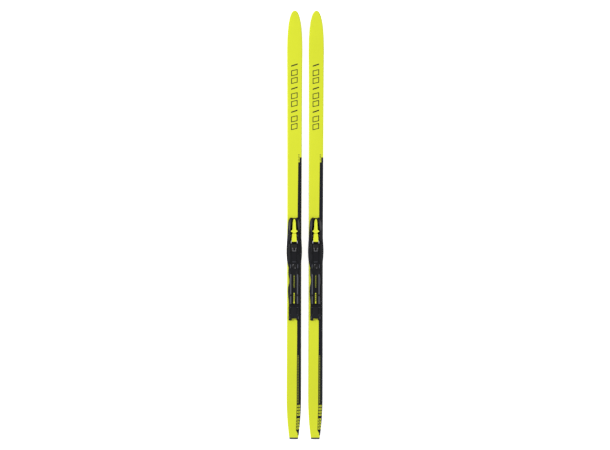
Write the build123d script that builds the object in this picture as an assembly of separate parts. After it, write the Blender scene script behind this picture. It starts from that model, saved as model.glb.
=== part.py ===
"""A pair of classic cross country skis, each with a step-in toe binding on a glued mounting plate.

Both skis are alike and lie side by side on their running surfaces, tips towards +Y.
The origin is the bottom centre of the pair. Binding heights are measured up from the ski's
flat binding platform, and everything else from the snow. Sizes are in millimetres.
"""

import math
import os

from build123d import *

# ---- ski: driving sizes -------------------------------------------------------------------
ski_length = 1400.0
ski_spacing = 70.4  # centre line to centre line
shovel_width = 50.6
waist_width = 46.6
tail_width = 47.8
tail_end_width = 29.0
tail_corner_radius = 3.0

shovel_from_tip = 134.0  # widest place of the front
waist_y = -190.0
tail_from_end = 138.0  # widest place of the rear
front_contact_from_tip = 215.0
rear_contact_from_end = 74.0
arch_top_y = -142.0

camber = 12.0
tip_rise = 54.0
tail_rise = 6.0
middle_thickness = 23.0
end_thickness = 6.5
blend_share = 0.32  # share of each long slope that curves upwards

# ---- ski: layers ----------------------------------------------------------------------------
base_thickness = 1.3
laminate_thickness = 0.7
cap_thickness = 0.9
glue_line = 0.05
side_gap = 0.3  # between the cap's walls and the layers inside it
groove_width = 7.0
groove_depth = 0.8
groove_inset = 95.0  # groove ends this far inside the contact lines
tail_guard_length = 6.8
tail_guard_proud = 0.4

# ---- binding: plate, shoe and rail -------------------------------------------------------------
platform_front_y = 38.0
platform_rear_y = -322.0
plate_thickness = 2.6
plate_half_width = 14.5
plate_front_y = 19.0
rail_setback = 1.0  # behind the cover's front part when it is fully back
rail_stem_half_width = 7.0
rail_stem_height = 1.5
rail_head_half_width = 10.4
rail_head_height = 1.8
slide_clearance = 0.3
carriage_travel = 8.0

shoe_roof = 1.3
shoe_from_bar = 6.6  # front of the shoe, behind the toe bar
skirt_wall = 2.1  # around the shoe, where the covers are narrowest

# ---- binding: toe unit -------------------------------------------------------------------------
housing_front_y = 25.6
housing_rear_y = -141.0
skirt_gap = 0.4  # under the skirt, down to the ski
bridge_depth = 3.9  # front bridge between the lobes
toe_bar_y = -57.4
toe_bar_height = 12.2
seat_radius = 2.05
seat_wall = 1.2
seat_half_length = 8.5
hook_clearance = 0.15
hook_thickness = 1.5
hook_width = 2.6
claw_length = 12.4  # from the toe bar's centre forwards
claw_shoulder = 9.0  # from the toe bar's centre to where the hooks' arms branch off
hook_wrap_angle = 62.0  # lip of the hook, above the rearward horizontal

pivot_y = -19.5
pivot_height = 10.5
pin_radius = 1.5
pin_clearance = 0.05
pin_half_length = 13.2
hub_radius = 3.0
lever_front_y = 20.4
lever_rear_y = -26.7
wing_half_width = 11.2
press_angle = 8.2
jaw_per_radian = 28.6

foot_y = 12.2  # front edge of the lever's wedge foot
foot_length = 4.8
foot_rise = 4.3  # foot above the slider's floor
foot_clearance = 0.15
ramp_slope = 0.92
slider_lift = 0.35
lid_proud = 0.25  # of the slider over the claw
arm_height = 3.8
arm_inner = 4.7
arm_outer = 8.2

spring_wire = 0.9
spring_radius = 2.7
spring_turns = 4.5
spring_room = 10.0
spring_gap = 0.12
post_length = 4.0
post_front_y = -26.0

flexor_length = 24.8
flexor_half_width = 10.0
flexor_height = 7.0
flexor_setback = 0.55  # behind the seat's rear wall
flexor_bed = 1.0
pocket_clearance = 0.3

lock_y = -133.9
lock_radius = 8.0
lock_shaft_radius = 3.0
lock_slot_angle = -32.0
lock_bed = 1.4

# ---- binding: heel track and pad ------------------------------------------------------------------
track_gap = 2.5  # between the toe unit and the track
track_length = 113.5
deck_thickness = 1.4
ridge_rise = 4.0
ridge_inner = 7.2
ridge_outer = 14.8
inlay_half_width = 2.5
front_screw_y = -90.6
rear_screw_y = -228.5
screw_radius = 1.2
screw_head_radius = 2.5
screw_head_height = 1.6

pad_gap = 1.0  # left between track and pad when the track is fully back
pad_length = 38.0
pad_thickness = 6.0
pad_half_width = 15.0
prong_inner = 7.6

# ---- worked out --------------------------------------------------------------------------------
tip_y = ski_length / 2
tail_end_y = -ski_length / 2
shovel_y = tip_y - shovel_from_tip
tail_y = tail_end_y + tail_from_end
front_contact_y = tip_y - front_contact_from_tip
rear_contact_y = tail_end_y + rear_contact_from_end
laminate_rear_y = tail_end_y + tail_guard_length
platform_height = camber + middle_thickness

plate_top = plate_thickness + glue_line
rail_head_bottom = plate_top + rail_stem_height
rail_top = rail_head_bottom + rail_head_height
shoe_bottom = plate_top + slide_clearance
shoe_top = rail_top + slide_clearance + shoe_roof
channel_half = plate_half_width + slide_clearance
cover_half = channel_half + skirt_wall
deck_bottom = shoe_top + glue_line
deck_height = deck_bottom + deck_thickness
ridge_height = deck_height + ridge_rise
screw_offset = (rail_head_half_width + slide_clearance + plate_half_width) / 2

seat_outer = seat_radius + seat_wall
seat_front_y = toe_bar_y + seat_outer
seat_rear_y = toe_bar_y - seat_outer
shoe_front_y = toe_bar_y - shoe_from_bar
track_front_y = housing_rear_y - track_gap
track_rear_y = track_front_y - track_length
shoe_rear_y = track_rear_y + 1.0
rail_front_y = shoe_front_y - carriage_travel - rail_setback
rail_rear_y = shoe_rear_y + 4.0
pad_front_y = track_rear_y - carriage_travel - pad_gap
pad_rear_y = pad_front_y - pad_length
plate_rear_y = pad_rear_y - 7.0
flexor_front_y = seat_rear_y - flexor_setback
flexor_rear_y = flexor_front_y - flexor_length
flexor_floor = deck_bottom + flexor_bed

channel_half_width = seat_half_length + 0.7
hook_inner = seat_radius + hook_clearance
hook_outer = hook_inner + hook_thickness
hook_x = seat_half_length + 0.15
claw_top = toe_bar_height + 0.3 + hook_outer
claw_bottom = claw_top - hook_thickness
claw_front_y = toe_bar_y + claw_length
lid_top = claw_top + lid_proud
lid_bottom = claw_bottom - 0.9
slider_floor = shoe_bottom + slider_lift
arm_top = slider_floor + arm_height
foot_bottom = slider_floor + foot_rise
ramp_top = foot_bottom + 0.3
ramp_head_y = foot_y + foot_clearance + 0.3 / ramp_slope
ramp_foot_y = ramp_head_y - (ramp_top - slider_floor - 0.1) / ramp_slope
bar_front_y = ramp_head_y + 1.3  # front of the slider's cross bar
post_rear_y = post_front_y - post_length
spring_rear_y = post_rear_y - spring_room
spring_height = slider_floor + spring_radius + spring_wire / 2 + 0.5
jaw_travel = jaw_per_radian * math.radians(press_angle)


# ---- helpers -----------------------------------------------------------------------------------
def block(half_x, y_span, z_span):
    """A box centred on x = 0."""
    (y0, y1), (z0, z1) = sorted(y_span), sorted(z_span)
    centre = (0, (y0 + y1) / 2, (z0 + z1) / 2)
    return Pos(*centre) * Box(2 * half_x, y1 - y0, z1 - z0)


def pair(half):
    """A piece together with its mirror image across x = 0, as separate solids."""
    return Compound(children=[half, mirror(half, about=Plane.YZ)])


def side_blocks(x_span, y_span, z_span):
    """Two equal boxes, one each side of x = 0."""
    x0, x1 = x_span
    half = Pos((x0 + x1) / 2, 0, 0) * block((x1 - x0) / 2, y_span, z_span)
    return half + mirror(half, about=Plane.YZ)


def from_side(points, half_x):
    """A polygon of (y, z) points, thickened to half_x each side of x = 0."""
    face = Plane.YZ * make_face(Polyline(*points, close=True))
    return extrude(face, half_x, both=True)


def from_plan(right_side, z_span):
    """A prism whose right-hand outline is the given edges, from x = 0 round to x = 0."""
    outline = Wire(right_side.edges())
    face = make_face(outline.edges() + mirror(outline, about=Plane.YZ).edges())
    return Pos(0, 0, z_span[0]) * extrude(face, z_span[1] - z_span[0], dir=(0, 0, 1))


def upright(x, y, radius, z_span):
    """A vertical cylinder."""
    z0, z1 = z_span
    return Pos(x, y, (z0 + z1) / 2) * Cylinder(radius, z1 - z0)


def crosswise(y, z, radius, half_x):
    """A cylinder along X."""
    return Pos(0, y, z) * Rot(0, 90, 0) * Cylinder(radius, 2 * half_x)


def on_platform(shape):
    """Lifts a binding piece on to the ski's platform."""
    return Pos(0, 0, platform_height) * shape


# ---- side view of the ski ----------------------------------------------------------------------
def slope_drop(distance, span, drop):
    """Fall along a level-to-level slope of two tangent arcs, at a distance from its top."""
    angle = 2 * math.atan(drop / span)
    radius = span / math.sin(angle)
    upper, lower = (1 - blend_share) * radius, blend_share * radius
    if distance <= upper * math.sin(angle):
        return upper - math.sqrt(upper**2 - distance**2)
    left = span - distance
    return drop - (lower - math.sqrt(lower**2 - left**2))


def end_lift(distance, span, rise):
    """Rise of an end that curves up in one arc from the contact line."""
    angle = 2 * math.atan(rise / span)
    radius = span / math.sin(angle)
    return radius - math.sqrt(radius**2 - distance**2)


def height(y, crown, end, flat):
    """Height of a line that is crown over the flat, and end above the base at both contacts."""
    flat_rear, flat_front = flat
    if y > front_contact_y:
        return end + end_lift(y - front_contact_y, tip_y - front_contact_y, tip_rise)
    if y < rear_contact_y:
        return end + end_lift(rear_contact_y - y, rear_contact_y - tail_end_y, tail_rise)
    if y > flat_front:
        return crown - slope_drop(y - flat_front, front_contact_y - flat_front, crown - end)
    if y < flat_rear:
        return crown - slope_drop(flat_rear - y, flat_rear - rear_contact_y, crown - end)
    return crown


arch = (arch_top_y, arch_top_y)
platform = (platform_rear_y, platform_front_y)


def line(shift, on_top):
    """Edges of the base line, or of the top line, shifted upwards, from tail to tip."""
    crown, end, flat = (platform_height, end_thickness, platform) if on_top else (camber, 0, arch)
    rear_slope = flat[0] - rear_contact_y
    front_slope = front_contact_y - flat[1]
    stops = [tail_end_y, rear_contact_y, rear_contact_y + blend_share * rear_slope, flat[0]]
    stops += [flat[1]] if on_top else []
    stops += [front_contact_y - blend_share * front_slope, front_contact_y, tip_y]

    def point(y):
        return (y, height(y, crown, end, flat) + shift)

    edges = []
    for start, stop in zip(stops, stops[1:]):
        if (start, stop) == flat:
            edges.append(Line(point(start), point(stop)))
        else:
            edges.append(ThreePointArc(point(start), point((start + stop) / 2), point(stop)))
    return edges


def layer(lower, upper):
    """The whole length of the ski between two lines, wider than the ski."""
    bottom, top = line(*lower), line(*upper)
    ends = [Line(bottom[0] @ 0, top[0] @ 0), Line(bottom[-1] @ 1, top[-1] @ 1)]
    face = Plane.YZ * make_face(bottom + top + ends)
    return extrude(face, shovel_width, both=True)


# ---- plan view of the ski ----------------------------------------------------------------------
def ski_outline(inset):
    """Prism over the ski's plan outline, drawn in by inset."""
    shovel, waist, tail = ((w / 2 - inset) for w in (shovel_width, waist_width, tail_width))
    end = tail_end_width / 2 - inset
    rear = tail_end_y + inset
    corner = tail_corner_radius
    front_end = tip_y - inset
    nose = 0.29 * (front_end - shovel_y)
    tip = Bezier(
        (0, front_end), (0.62 * shovel, front_end), (shovel, front_end - nose), (shovel, shovel_y)
    )
    side = ThreePointArc((shovel, shovel_y), (waist, waist_y), (tail, tail_y))
    taper = tail_y - rear
    heel = Bezier(
        (tail, tail_y),
        (tail, tail_y - 0.37 * taper),
        (end + 0.04 * taper, rear + corner + 0.25 * taper),
        (end, rear + corner),
    )
    rim = corner * (1 - math.sqrt(0.5))
    round_corner = ThreePointArc(
        (end, rear + corner), (end - rim, rear + rim), (end - corner, rear)
    )
    rear_edge = Line((end - corner, rear), (0, rear))
    span = (-1, platform_height + tip_rise)
    return from_plan(Curve(children=[tip, side, heel, round_corner, rear_edge]), span)


def ski_body():
    """The laminated ski: base, two laminates, core, cap shell and tail guard."""
    full = ski_outline(0)
    inner = ski_outline(cap_thickness + side_gap)
    front_part = block(shovel_width, (laminate_rear_y, tip_y + 1), (-1, 200))
    rear_part = block(shovel_width, (tail_end_y - 1, laminate_rear_y - glue_line), (-1, 200))
    inner_part = block(shovel_width, (laminate_rear_y + cap_thickness, tip_y + 1), (-1, 200))
    base_line, top_line = (0, False), (0, True)
    base_top = (base_thickness, False)
    cap_line = (base_thickness + glue_line, False)
    cavity_top = (-cap_thickness, True)

    base = layer(base_line, base_top) & full & front_part
    groove_span = (rear_contact_y + groove_inset, front_contact_y - groove_inset)
    groove_zone = block(groove_width / 2, groove_span, (-1, 200))
    base = base - (layer((-1, False), (groove_depth, False)) & groove_zone)

    cavity = layer((0, False), cavity_top) & ski_outline(cap_thickness) & inner_part
    cap = (layer(cap_line, top_line) & full & front_part) - cavity

    heights = [base_thickness + glue_line, laminate_thickness, cap_thickness + glue_line]
    lower = (heights[0], False)
    lower_top = (heights[0] + laminate_thickness, False)
    core_bottom = (lower_top[0] + glue_line, False)
    upper_top = (-heights[2], True)
    upper = (upper_top[0] - laminate_thickness, True)
    core_top = (upper[0] - glue_line, True)
    inside = inner & block(shovel_width, (laminate_rear_y + cap_thickness + side_gap, tip_y), (-1, 200))
    guard = layer(base_line, (tail_guard_proud, True)) & full & rear_part
    return {
        "base": base,
        "bottom_laminate": layer(lower, lower_top) & inside,
        "core": layer(core_bottom, core_top) & inside,
        "top_laminate": layer(upper, upper_top) & inside,
        "cap": cap,
        "tail_guard": guard,
    }


# ---- mounting plate, rail and slide shoe ---------------------------------------------------------
def mounting_plate():
    """Flat plate glued to the ski, with a T-shaped rail and a forked rear end."""
    z = (glue_line, plate_top)
    rear_start = pad_front_y + pad_gap / 2
    plate = block(plate_half_width, (rear_start, plate_front_y), z)
    plate = fillet(plate.edges().filter_by(Axis.Z).group_by(Axis.Y)[-1], 5)
    rear = block(pad_half_width + 2.5, (plate_rear_y, rear_start), z)
    notch = block(prong_inner, (plate_rear_y - 1, pad_rear_y), (-1, 20))
    rear = fillet((rear - notch).edges().filter_by(Axis.Z).group_by(Axis.Y)[0], 3)
    stem = block(rail_stem_half_width, (rail_rear_y, rail_front_y), (plate_top - 1, rail_head_bottom))
    head = block(rail_head_half_width, (rail_rear_y, rail_front_y), (rail_head_bottom, rail_top))
    return plate + rear + stem + head


def heel_pad():
    """Raised pad behind the track, with two side pockets and rounded prongs."""
    pad_height = plate_top + pad_thickness
    z = (plate_top, pad_height)
    pad = block(pad_half_width, (pad_rear_y - 4, pad_front_y), z)
    notch = block(prong_inner, (pad_rear_y - 5, pad_rear_y), (0, 20))
    pad = pad - notch
    pad = fillet(pad.edges().filter_by(Axis.Z).group_by(Axis.Y)[0], 2)
    pad = fillet(pad.edges().filter_by(Axis.Z).group_by(Axis.Y)[-1], 3)
    pocket_span = (pad_rear_y + 14, pad_front_y - 5)
    pockets = side_blocks((8.2, 12.6), pocket_span, (pad_height - 2.2, 20))
    pad = pad - pockets
    return chamfer(pad.faces().sort_by(Axis.Z)[-1].outer_wire().edges(), 0.6)


def t_slot(y_span):
    """Space that the rail runs in."""
    gap = slide_clearance
    stem = block(rail_stem_half_width + gap, y_span, (0, rail_top))
    head = block(rail_head_half_width + gap, y_span, (rail_head_bottom - gap, rail_top + gap))
    return stem + head


def slide_shoe():
    """Long shoe on the rail that joins the toe unit to the heel track."""
    span = (shoe_rear_y, shoe_front_y)
    shoe = block(plate_half_width, span, (shoe_bottom, shoe_top))
    shoe = shoe - t_slot((shoe_rear_y - 1, shoe_front_y + 1))
    for y in (front_screw_y, rear_screw_y):
        for x in (-screw_offset, screw_offset):
            shoe = shoe - upright(x, y, screw_radius + pin_clearance, (0, 20))
    return shoe


# ---- toe unit ----------------------------------------------------------------------------------
def housing_plan():
    """Right-hand outline of the toe unit: front lobe, flank, wide shoulder and narrow tail."""
    lobe = ThreePointArc(
        (5.5, housing_front_y - bridge_depth), (9.5, housing_front_y), (14.2, housing_front_y - 2.2)
    )
    flank = Spline(
        (14.2, housing_front_y - 2.2),
        (18.0, 17.5),
        (19.9, 9.0),
        (21.4, -8.0),
        (24.0, -51.5),
        (25.5, -88.0),
        (23.7, -113.0),
        (cover_half + 1.5, housing_rear_y + 5),
        (cover_half, housing_rear_y),
    )
    bridge_y = housing_front_y - bridge_depth
    bridge = Line((0, bridge_y), (5.5, bridge_y))
    rear_edge = Line((cover_half, housing_rear_y), (0, housing_rear_y))
    return Curve(children=[bridge, lobe, flank, rear_edge])


def trough_plan(z_span):
    """Recess that the lever lies in, wide at its wings."""
    half_tip, wing = 4.6, wing_half_width + 0.4
    points = [
        (0, lever_front_y + 0.6),
        (half_tip - 1, lever_front_y + 0.6),
        (half_tip, lever_front_y - 1),
        (9.2, pivot_y + 9),
        (wing, pivot_y + 4.0),
        (wing, pivot_y - 4.0),
        (channel_half_width, pivot_y - 6.4),
        (channel_half_width, lever_rear_y - 2),
        (0, lever_rear_y - 2),
    ]
    return from_plan(Polyline(*points), z_span)


def front_housing():
    """Moulded body of the toe unit."""
    top = 16.2
    body = from_plan(housing_plan(), (skirt_gap, top))
    roof_line = [
        (housing_front_y + 1, 0),
        (housing_front_y + 1, 7.0),
        (18, 9.0),
        (4, 11.8),
        (-14, 14.0),
        (-30, 14.6),
        (-46, 14.6),
        (-55, 11.6),
        (-60, 11.0),
        (-64, flexor_floor + 4.6),
        (-112, flexor_floor + 4.0),
        (-121, deck_bottom + 3.0),
        (housing_rear_y - 1, deck_bottom + 2.2),
        (housing_rear_y - 1, 0),
    ]
    body = body & from_side(roof_line, 40)
    crown = Plane.XZ * make_face(
        Polyline((-30, 0), (-30, 4.6), (-24, 6.6), (-19.5, 9.4), (-14.2, 14.2), (-12.6, top))
        + Line((-12.6, top), (12.6, top))
        + Polyline((12.6, top), (14.2, 14.2), (19.5, 9.4), (24, 6.6), (30, 4.6), (30, 0))
        + Line((30, 0), (-30, 0))
    )
    body = body & (Pos(0, 50, 0) * extrude(crown, 250, dir=(0, -1, 0)))

    front = (shoe_front_y + slide_clearance, housing_front_y + 1)
    rear = (housing_rear_y - 1, shoe_front_y + slide_clearance)
    over_plate = block(channel_half, front, (0, shoe_bottom))
    over_shoe = block(channel_half, rear, (0, deck_bottom))
    body = body - over_plate - over_shoe

    slider_way = block(channel_half_width, (seat_front_y, lever_rear_y), (0, 30))
    arms_span = (seat_front_y, bar_front_y + jaw_travel + slide_clearance)
    arms_way = block(arm_outer + slide_clearance, arms_span, (0, arm_top + slide_clearance))
    body = body - trough_plan((0, 30)) - slider_way - arms_way
    post_span = (post_rear_y, post_front_y)
    bridge = block(channel_half_width + 1, post_span, (arm_top + 0.8, arm_top + 2.5))
    post = block(arm_inner - 0.7, post_span, (slider_floor, arm_top + 1))
    body = body + bridge + post

    bar_floor = toe_bar_height - seat_outer
    bar_way = block(40, (seat_rear_y - 0.15, seat_front_y + 4.2), (bar_floor, 30))
    hook_front = toe_bar_y + claw_shoulder + jaw_travel + slide_clearance
    hook_half = hook_x + hook_width + 0.95
    hook_way = block(hook_half, (seat_rear_y - 0.15, hook_front), (toe_bar_height + 0.1, 30))
    seat_span = (seat_rear_y - glue_line, seat_front_y + 0.1)
    seat_hole = block(seat_half_length + 0.1, seat_span, (bar_floor - 3, 30))
    body = body - bar_way - hook_way - seat_hole

    flexor_pocket = block(
        flexor_half_width + pocket_clearance,
        (flexor_rear_y - pocket_clearance, seat_rear_y - glue_line),
        (flexor_floor, 30),
    )
    body = body - flexor_pocket
    pin_hole = crosswise(pivot_y, pivot_height, pin_radius + pin_clearance, pin_half_length + 0.1)
    body = body - pin_hole
    lock_well = upright(0, lock_y, lock_radius + pocket_clearance, (deck_bottom + lock_bed, 30))
    lock_hole = upright(0, lock_y, lock_shaft_radius + pin_clearance, (0, 30))
    corners = side_blocks((cover_half - 1.3, 40), (-200, housing_rear_y + 6), (deck_bottom + 1, 30))
    body = body - lock_well - lock_hole - corners
    screw_seat = deck_bottom + lock_bed
    for x in (-screw_offset, screw_offset):
        body = body - upright(x, front_screw_y, screw_radius + pin_clearance, (0, 30))
        body = body - upright(x, front_screw_y, screw_head_radius + 0.2, (screw_seat, 30))
    return body


def toe_seat():
    """Steel seat for the boot's toe bar: a half-round trough with a raised rear wall."""
    floor = toe_bar_height - seat_outer
    foot_z = (floor - 2.9, toe_bar_height)
    wall_z = (toe_bar_height, toe_bar_height + 1.4)
    foot = block(seat_half_length, (seat_rear_y, seat_front_y), foot_z)
    wall = block(seat_half_length, (seat_rear_y, toe_bar_y - seat_radius), wall_z)
    return foot + wall - crosswise(toe_bar_y, toe_bar_height, seat_radius, seat_half_length + 1)


def jaw_claw():
    """Steel claw: a plate in the slider with a hook each side that closes over the toe bar."""
    half = hook_x + hook_width
    turns = [math.radians(a) for a in range(0, int(180 - hook_wrap_angle) + 1, 14)]
    stretch = 1 / math.cos(math.radians(7))  # keeps the flats outside the stated radius

    def bend(radius):
        return [
            (toe_bar_y + radius * math.cos(a), toe_bar_height + 0.3 + radius * math.sin(a))
            for a in turns
        ]

    inside = bend(hook_inner * stretch)
    outside = bend(hook_outer)
    hooks = from_side(outside + inside[::-1], half)
    arm = block(half, (toe_bar_y, claw_front_y), (claw_bottom, claw_top))
    between = block(hook_x, (toe_bar_y - 10, toe_bar_y + hook_outer + 0.5), (0, 30))
    branch_y = toe_bar_y + claw_shoulder
    stem = seat_half_length - 0.6
    outline = Polyline(
        (0, claw_front_y),
        (stem, claw_front_y),
        (stem, branch_y),
        (half, branch_y - 4.0),
        (half, toe_bar_y - 10),
        (0, toe_bar_y - 10),
    )
    return (hooks + arm - between) & from_plan(outline, (0, 30))


def jaw_slider():
    """Slider under and behind the lever: claw carrier, two arms and a ramped cross bar."""
    rear_y = seat_front_y + slide_clearance
    half = seat_half_length - 0.1
    lid_front_y = lever_rear_y - 0.6
    carrier = block(half, (rear_y, spring_rear_y), (slider_floor, lid_top - 1))
    outline = Polyline((0, lid_front_y), (half - 0.5, lid_front_y), (half, rear_y), (0, rear_y))
    lid = from_plan(outline, (lid_bottom, lid_top))
    arm_span = (spring_rear_y, bar_front_y - 2)
    arms = side_blocks((arm_inner, arm_outer), arm_span, (slider_floor, arm_top))
    ramp = [
        (ramp_foot_y, slider_floor),
        (ramp_foot_y, slider_floor + 0.1),
        (ramp_head_y, ramp_top),
        (bar_front_y, ramp_top),
        (bar_front_y, slider_floor),
    ]
    cross_bar = from_side(ramp, arm_inner - 0.7)
    tie_z = (slider_floor, slider_floor + 1.7)
    tie = block(arm_outer, (bar_front_y - 3.6, bar_front_y), tie_z)
    slider = carrier + lid + arms + cross_bar + tie
    plate_span = (toe_bar_y + hook_outer + 0.45, claw_front_y + 0.1)
    plate_space = block(30, plate_span, (claw_bottom - 0.02, claw_top + 0.02))
    return slider - plate_space


def jaw_spring():
    """Closing spring between the housing's post and the slider."""
    length = spring_room - 2 * spring_gap
    pitch = (length - spring_wire) / spring_turns
    path = Helix(pitch=pitch, height=pitch * spring_turns, radius=spring_radius)
    section = Plane(origin=path @ 0, z_dir=path % 0) * Circle(spring_wire / 2)
    coil = sweep(section, path=path, is_frenet=True)
    start = spring_rear_y + spring_gap + spring_wire / 2
    return Pos(0, start, spring_height) * Rot(-90, 0, 0) * coil


def release_lever():
    """Press lever: tapered arm, wings at the pin and a wedge foot over the slider's ramp."""
    plan = Polyline(
        (0, lever_front_y),
        (2.6, lever_front_y),
        (4.1, lever_front_y - 2),
        (7.2, pivot_y + 8),
        (8.2, pivot_y + 4.6),
        (wing_half_width, pivot_y + 3.0),
        (wing_half_width, pivot_y - 3.0),
        (7.9, pivot_y - 5.0),
        (7.9, lever_rear_y),
        (0, lever_rear_y),
    )
    top = max(pivot_height + 7.1, lid_top + 1.4)
    rear_bottom = top - 1.15
    body = from_plan(plan, (5, top + 2))
    side = from_side(
        [
            (lever_front_y + 1, pivot_height + 3.1),
            (lever_front_y + 1, pivot_height + 4.7),
            (lever_front_y - 6.4, pivot_height + 5.4),
            (-8, pivot_height + 6.1),
            (pivot_y, top),
            (lever_rear_y - 1, top),
            (lever_rear_y - 1, rear_bottom),
            (pivot_y - 2.2, rear_bottom),
            (pivot_y - 2.2, pivot_height),
            (pivot_y + 4, pivot_height + 1.1),
            (0, pivot_height + 3.1),
        ],
        30,
    )
    hub = crosswise(pivot_y, pivot_height, hub_radius, wing_half_width)
    foot_rear = foot_y - foot_length
    foot_top = pivot_height + 3.5
    foot = from_side(
        [
            (foot_rear, foot_top),
            (foot_rear, foot_bottom + 1),
            (foot_rear + 1.4, foot_bottom),
            (foot_y, foot_bottom),
            (foot_y + 0.4, foot_top),
        ],
        arm_inner - 0.9,
    )
    lever = (body & side) + hub + foot
    lever = lever - crosswise(pivot_y, pivot_height, pin_radius + pin_clearance, 30)
    dish = Pos(0, 10, pivot_height + 35.1) * Sphere(30.6)
    return lever - (dish & block(3.0, (2, 18), (10, 60)))


def lever_pin():
    return crosswise(pivot_y, pivot_height, pin_radius, pin_half_length)


def flexor():
    """Rubber bumper behind the toe bar, with a rounded front and a window for its clip."""
    floor = flexor_floor + 0.02
    top = floor + flexor_height
    body = from_side(
        [
            (flexor_front_y, floor),
            (flexor_front_y, top - 2.2),
            (flexor_front_y - 2.2, top),
            (flexor_rear_y + 3, top - 0.6),
            (flexor_rear_y, top - 2.4),
            (flexor_rear_y, floor),
        ],
        flexor_half_width,
    )
    body = fillet(body.edges().filter_by(Axis.Z), 1.6)
    window = block(5.6, (flexor_rear_y + 2.0, flexor_rear_y + 11), (flexor_floor + 2.8, 30))
    return body - window


def flexor_clip():
    """Clip that holds the flexor in its pocket: a small frame with a square hole."""
    bottom = flexor_floor + 2.82
    top = flexor_floor + flexor_height - 0.2
    frame = block(5.4, (flexor_rear_y + 2.2, flexor_rear_y + 10.8), (bottom, top))
    hole = block(2.3, (flexor_rear_y + 4.2, flexor_rear_y + 8.6), (bottom + 1.8, 30))
    frame = frame - hole
    return chamfer(frame.faces().sort_by(Axis.Z)[-1].outer_wire().edges(), 0.5)


def position_lock():
    """Quarter-turn cam that clamps the shoe on the rail: slotted head and short shaft."""
    head_bottom = deck_bottom + lock_bed + 0.15
    head = upright(0, lock_y, lock_radius, (head_bottom, head_bottom + 2.4))
    head = chamfer(head.edges().group_by(Axis.Z)[-1], 0.5)
    shaft = upright(0, lock_y, lock_shaft_radius, (shoe_top + slide_clearance, head_bottom))
    slot = Box(2.6, 12.4, 3)
    slot = Pos(0, lock_y, head_bottom + 2.4) * Rot(0, 0, lock_slot_angle) * slot
    return head + shaft - slot


# ---- heel track --------------------------------------------------------------------------------
def rear_track():
    """Boot guide behind the toe unit: waisted deck with two ridges and a sunk middle."""
    side = Spline(
        (cover_half + 1.3, track_front_y),
        (cover_half + 1.9, track_front_y - 10.5),
        (cover_half - 0.8, track_front_y - 37.5),
        (cover_half + 3.2, track_front_y - 64.5),
        (cover_half + 0.6, track_front_y - 98.5),
        (cover_half + 0.1, track_rear_y),
    )
    front_edge = Line((0, track_front_y), (cover_half + 1.3, track_front_y))
    rear_edge = Line((cover_half + 0.1, track_rear_y), (0, track_rear_y))
    plan = Curve(children=[front_edge, side, rear_edge])
    body = from_plan(plan, (skirt_gap, ridge_height))
    whole = (track_rear_y - 1, track_front_y + 1)
    body = body - side_blocks((ridge_outer, 40), whole, (deck_height - 1.2, 30))
    ramp = [
        (track_front_y + 1, 0),
        (track_front_y + 1, deck_height),
        (track_front_y - 6, deck_height),
        (track_front_y - 24, ridge_height),
        (track_rear_y + 2, ridge_height),
        (track_rear_y - 1, ridge_height - 3),
        (track_rear_y - 1, 0),
    ]
    body = body & from_side(ramp, 40)
    body = body - block(ridge_inner, whole, (deck_height, 30)) - block(channel_half, whole, (0, deck_bottom))
    for x in (-screw_offset, screw_offset):
        body = body - upright(x, rear_screw_y, screw_radius + pin_clearance, (0, 30))
        body = body - upright(x, rear_screw_y, screw_head_radius + 0.2, (deck_height + 1.2, 30))
    return body


def track_inlay():
    """Coloured strip in the middle of the track, in two lengths."""
    z = (deck_height + 0.02, deck_height + 0.8)
    front = block(inlay_half_width, (track_front_y - 59.1, track_front_y - 19.2), z)
    rear = block(inlay_half_width, (track_rear_y + 2.0, track_rear_y + 36.4), z)
    return front + rear


def screws(y, head_bottom):
    """A pair of countersunk-drive screws down into the shoe, as two solids."""
    x = screw_offset
    head = upright(x, y, screw_head_radius, (head_bottom, head_bottom + screw_head_height))
    head = fillet(head.edges().group_by(Axis.Z)[-1], 0.7)
    shank = upright(x, y, screw_radius, (shoe_bottom + 0.3, head_bottom))
    drive_top = head_bottom + screw_head_height
    drive = Pos(x, y, drive_top) * (Box(3.0, 0.8, 1.6) + Box(0.8, 3.0, 1.6))
    return pair(head + shank - drive)


# ---- assembly ----------------------------------------------------------------------------------
def one_ski():
    """All pieces of one ski on x = 0, by name."""
    pieces = ski_body()
    binding = {
        "mounting_plate": mounting_plate(),
        "heel_pad": heel_pad(),
        "slide_shoe": slide_shoe(),
        "front_housing": front_housing(),
        "toe_seat": toe_seat(),
        "jaw_claw": jaw_claw(),
        "jaw_slider": jaw_slider(),
        "jaw_spring": jaw_spring(),
        "release_lever": release_lever(),
        "lever_pin": lever_pin(),
        "flexor": flexor(),
        "flexor_clip": flexor_clip(),
        "position_lock": position_lock(),
        "rear_track": rear_track(),
        "track_inlay": track_inlay(),
        "front_screws": screws(front_screw_y, deck_bottom + lock_bed + 0.02),
        "rear_screws": screws(rear_screw_y, deck_height + 1.22),
    }
    pieces.update({name: on_platform(shape) for name, shape in binding.items()})
    return pieces


def main():
    os.makedirs("parts", exist_ok=True)
    pieces = one_ski()
    for side, x in (("left", -ski_spacing / 2), ("right", ski_spacing / 2)):
        for name, shape in pieces.items():
            placed = Pos(x, 0, 0) * shape
            export_step(placed, os.path.join("parts", f"{side}_{name}.step"))
    print("jaw travel", round(jaw_travel, 2), "pieces", 2 * len(pieces))


main()
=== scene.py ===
"""A pair of yellow cross country skis with toe bindings, finished on their CAD frame."""

import math

import bmesh
import bpy
from bpy.props import FloatProperty, FloatVectorProperty, IntProperty, PointerProperty
from mathutils import Matrix, Vector
from mathutils.geometry import tessellate_polygon


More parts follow.
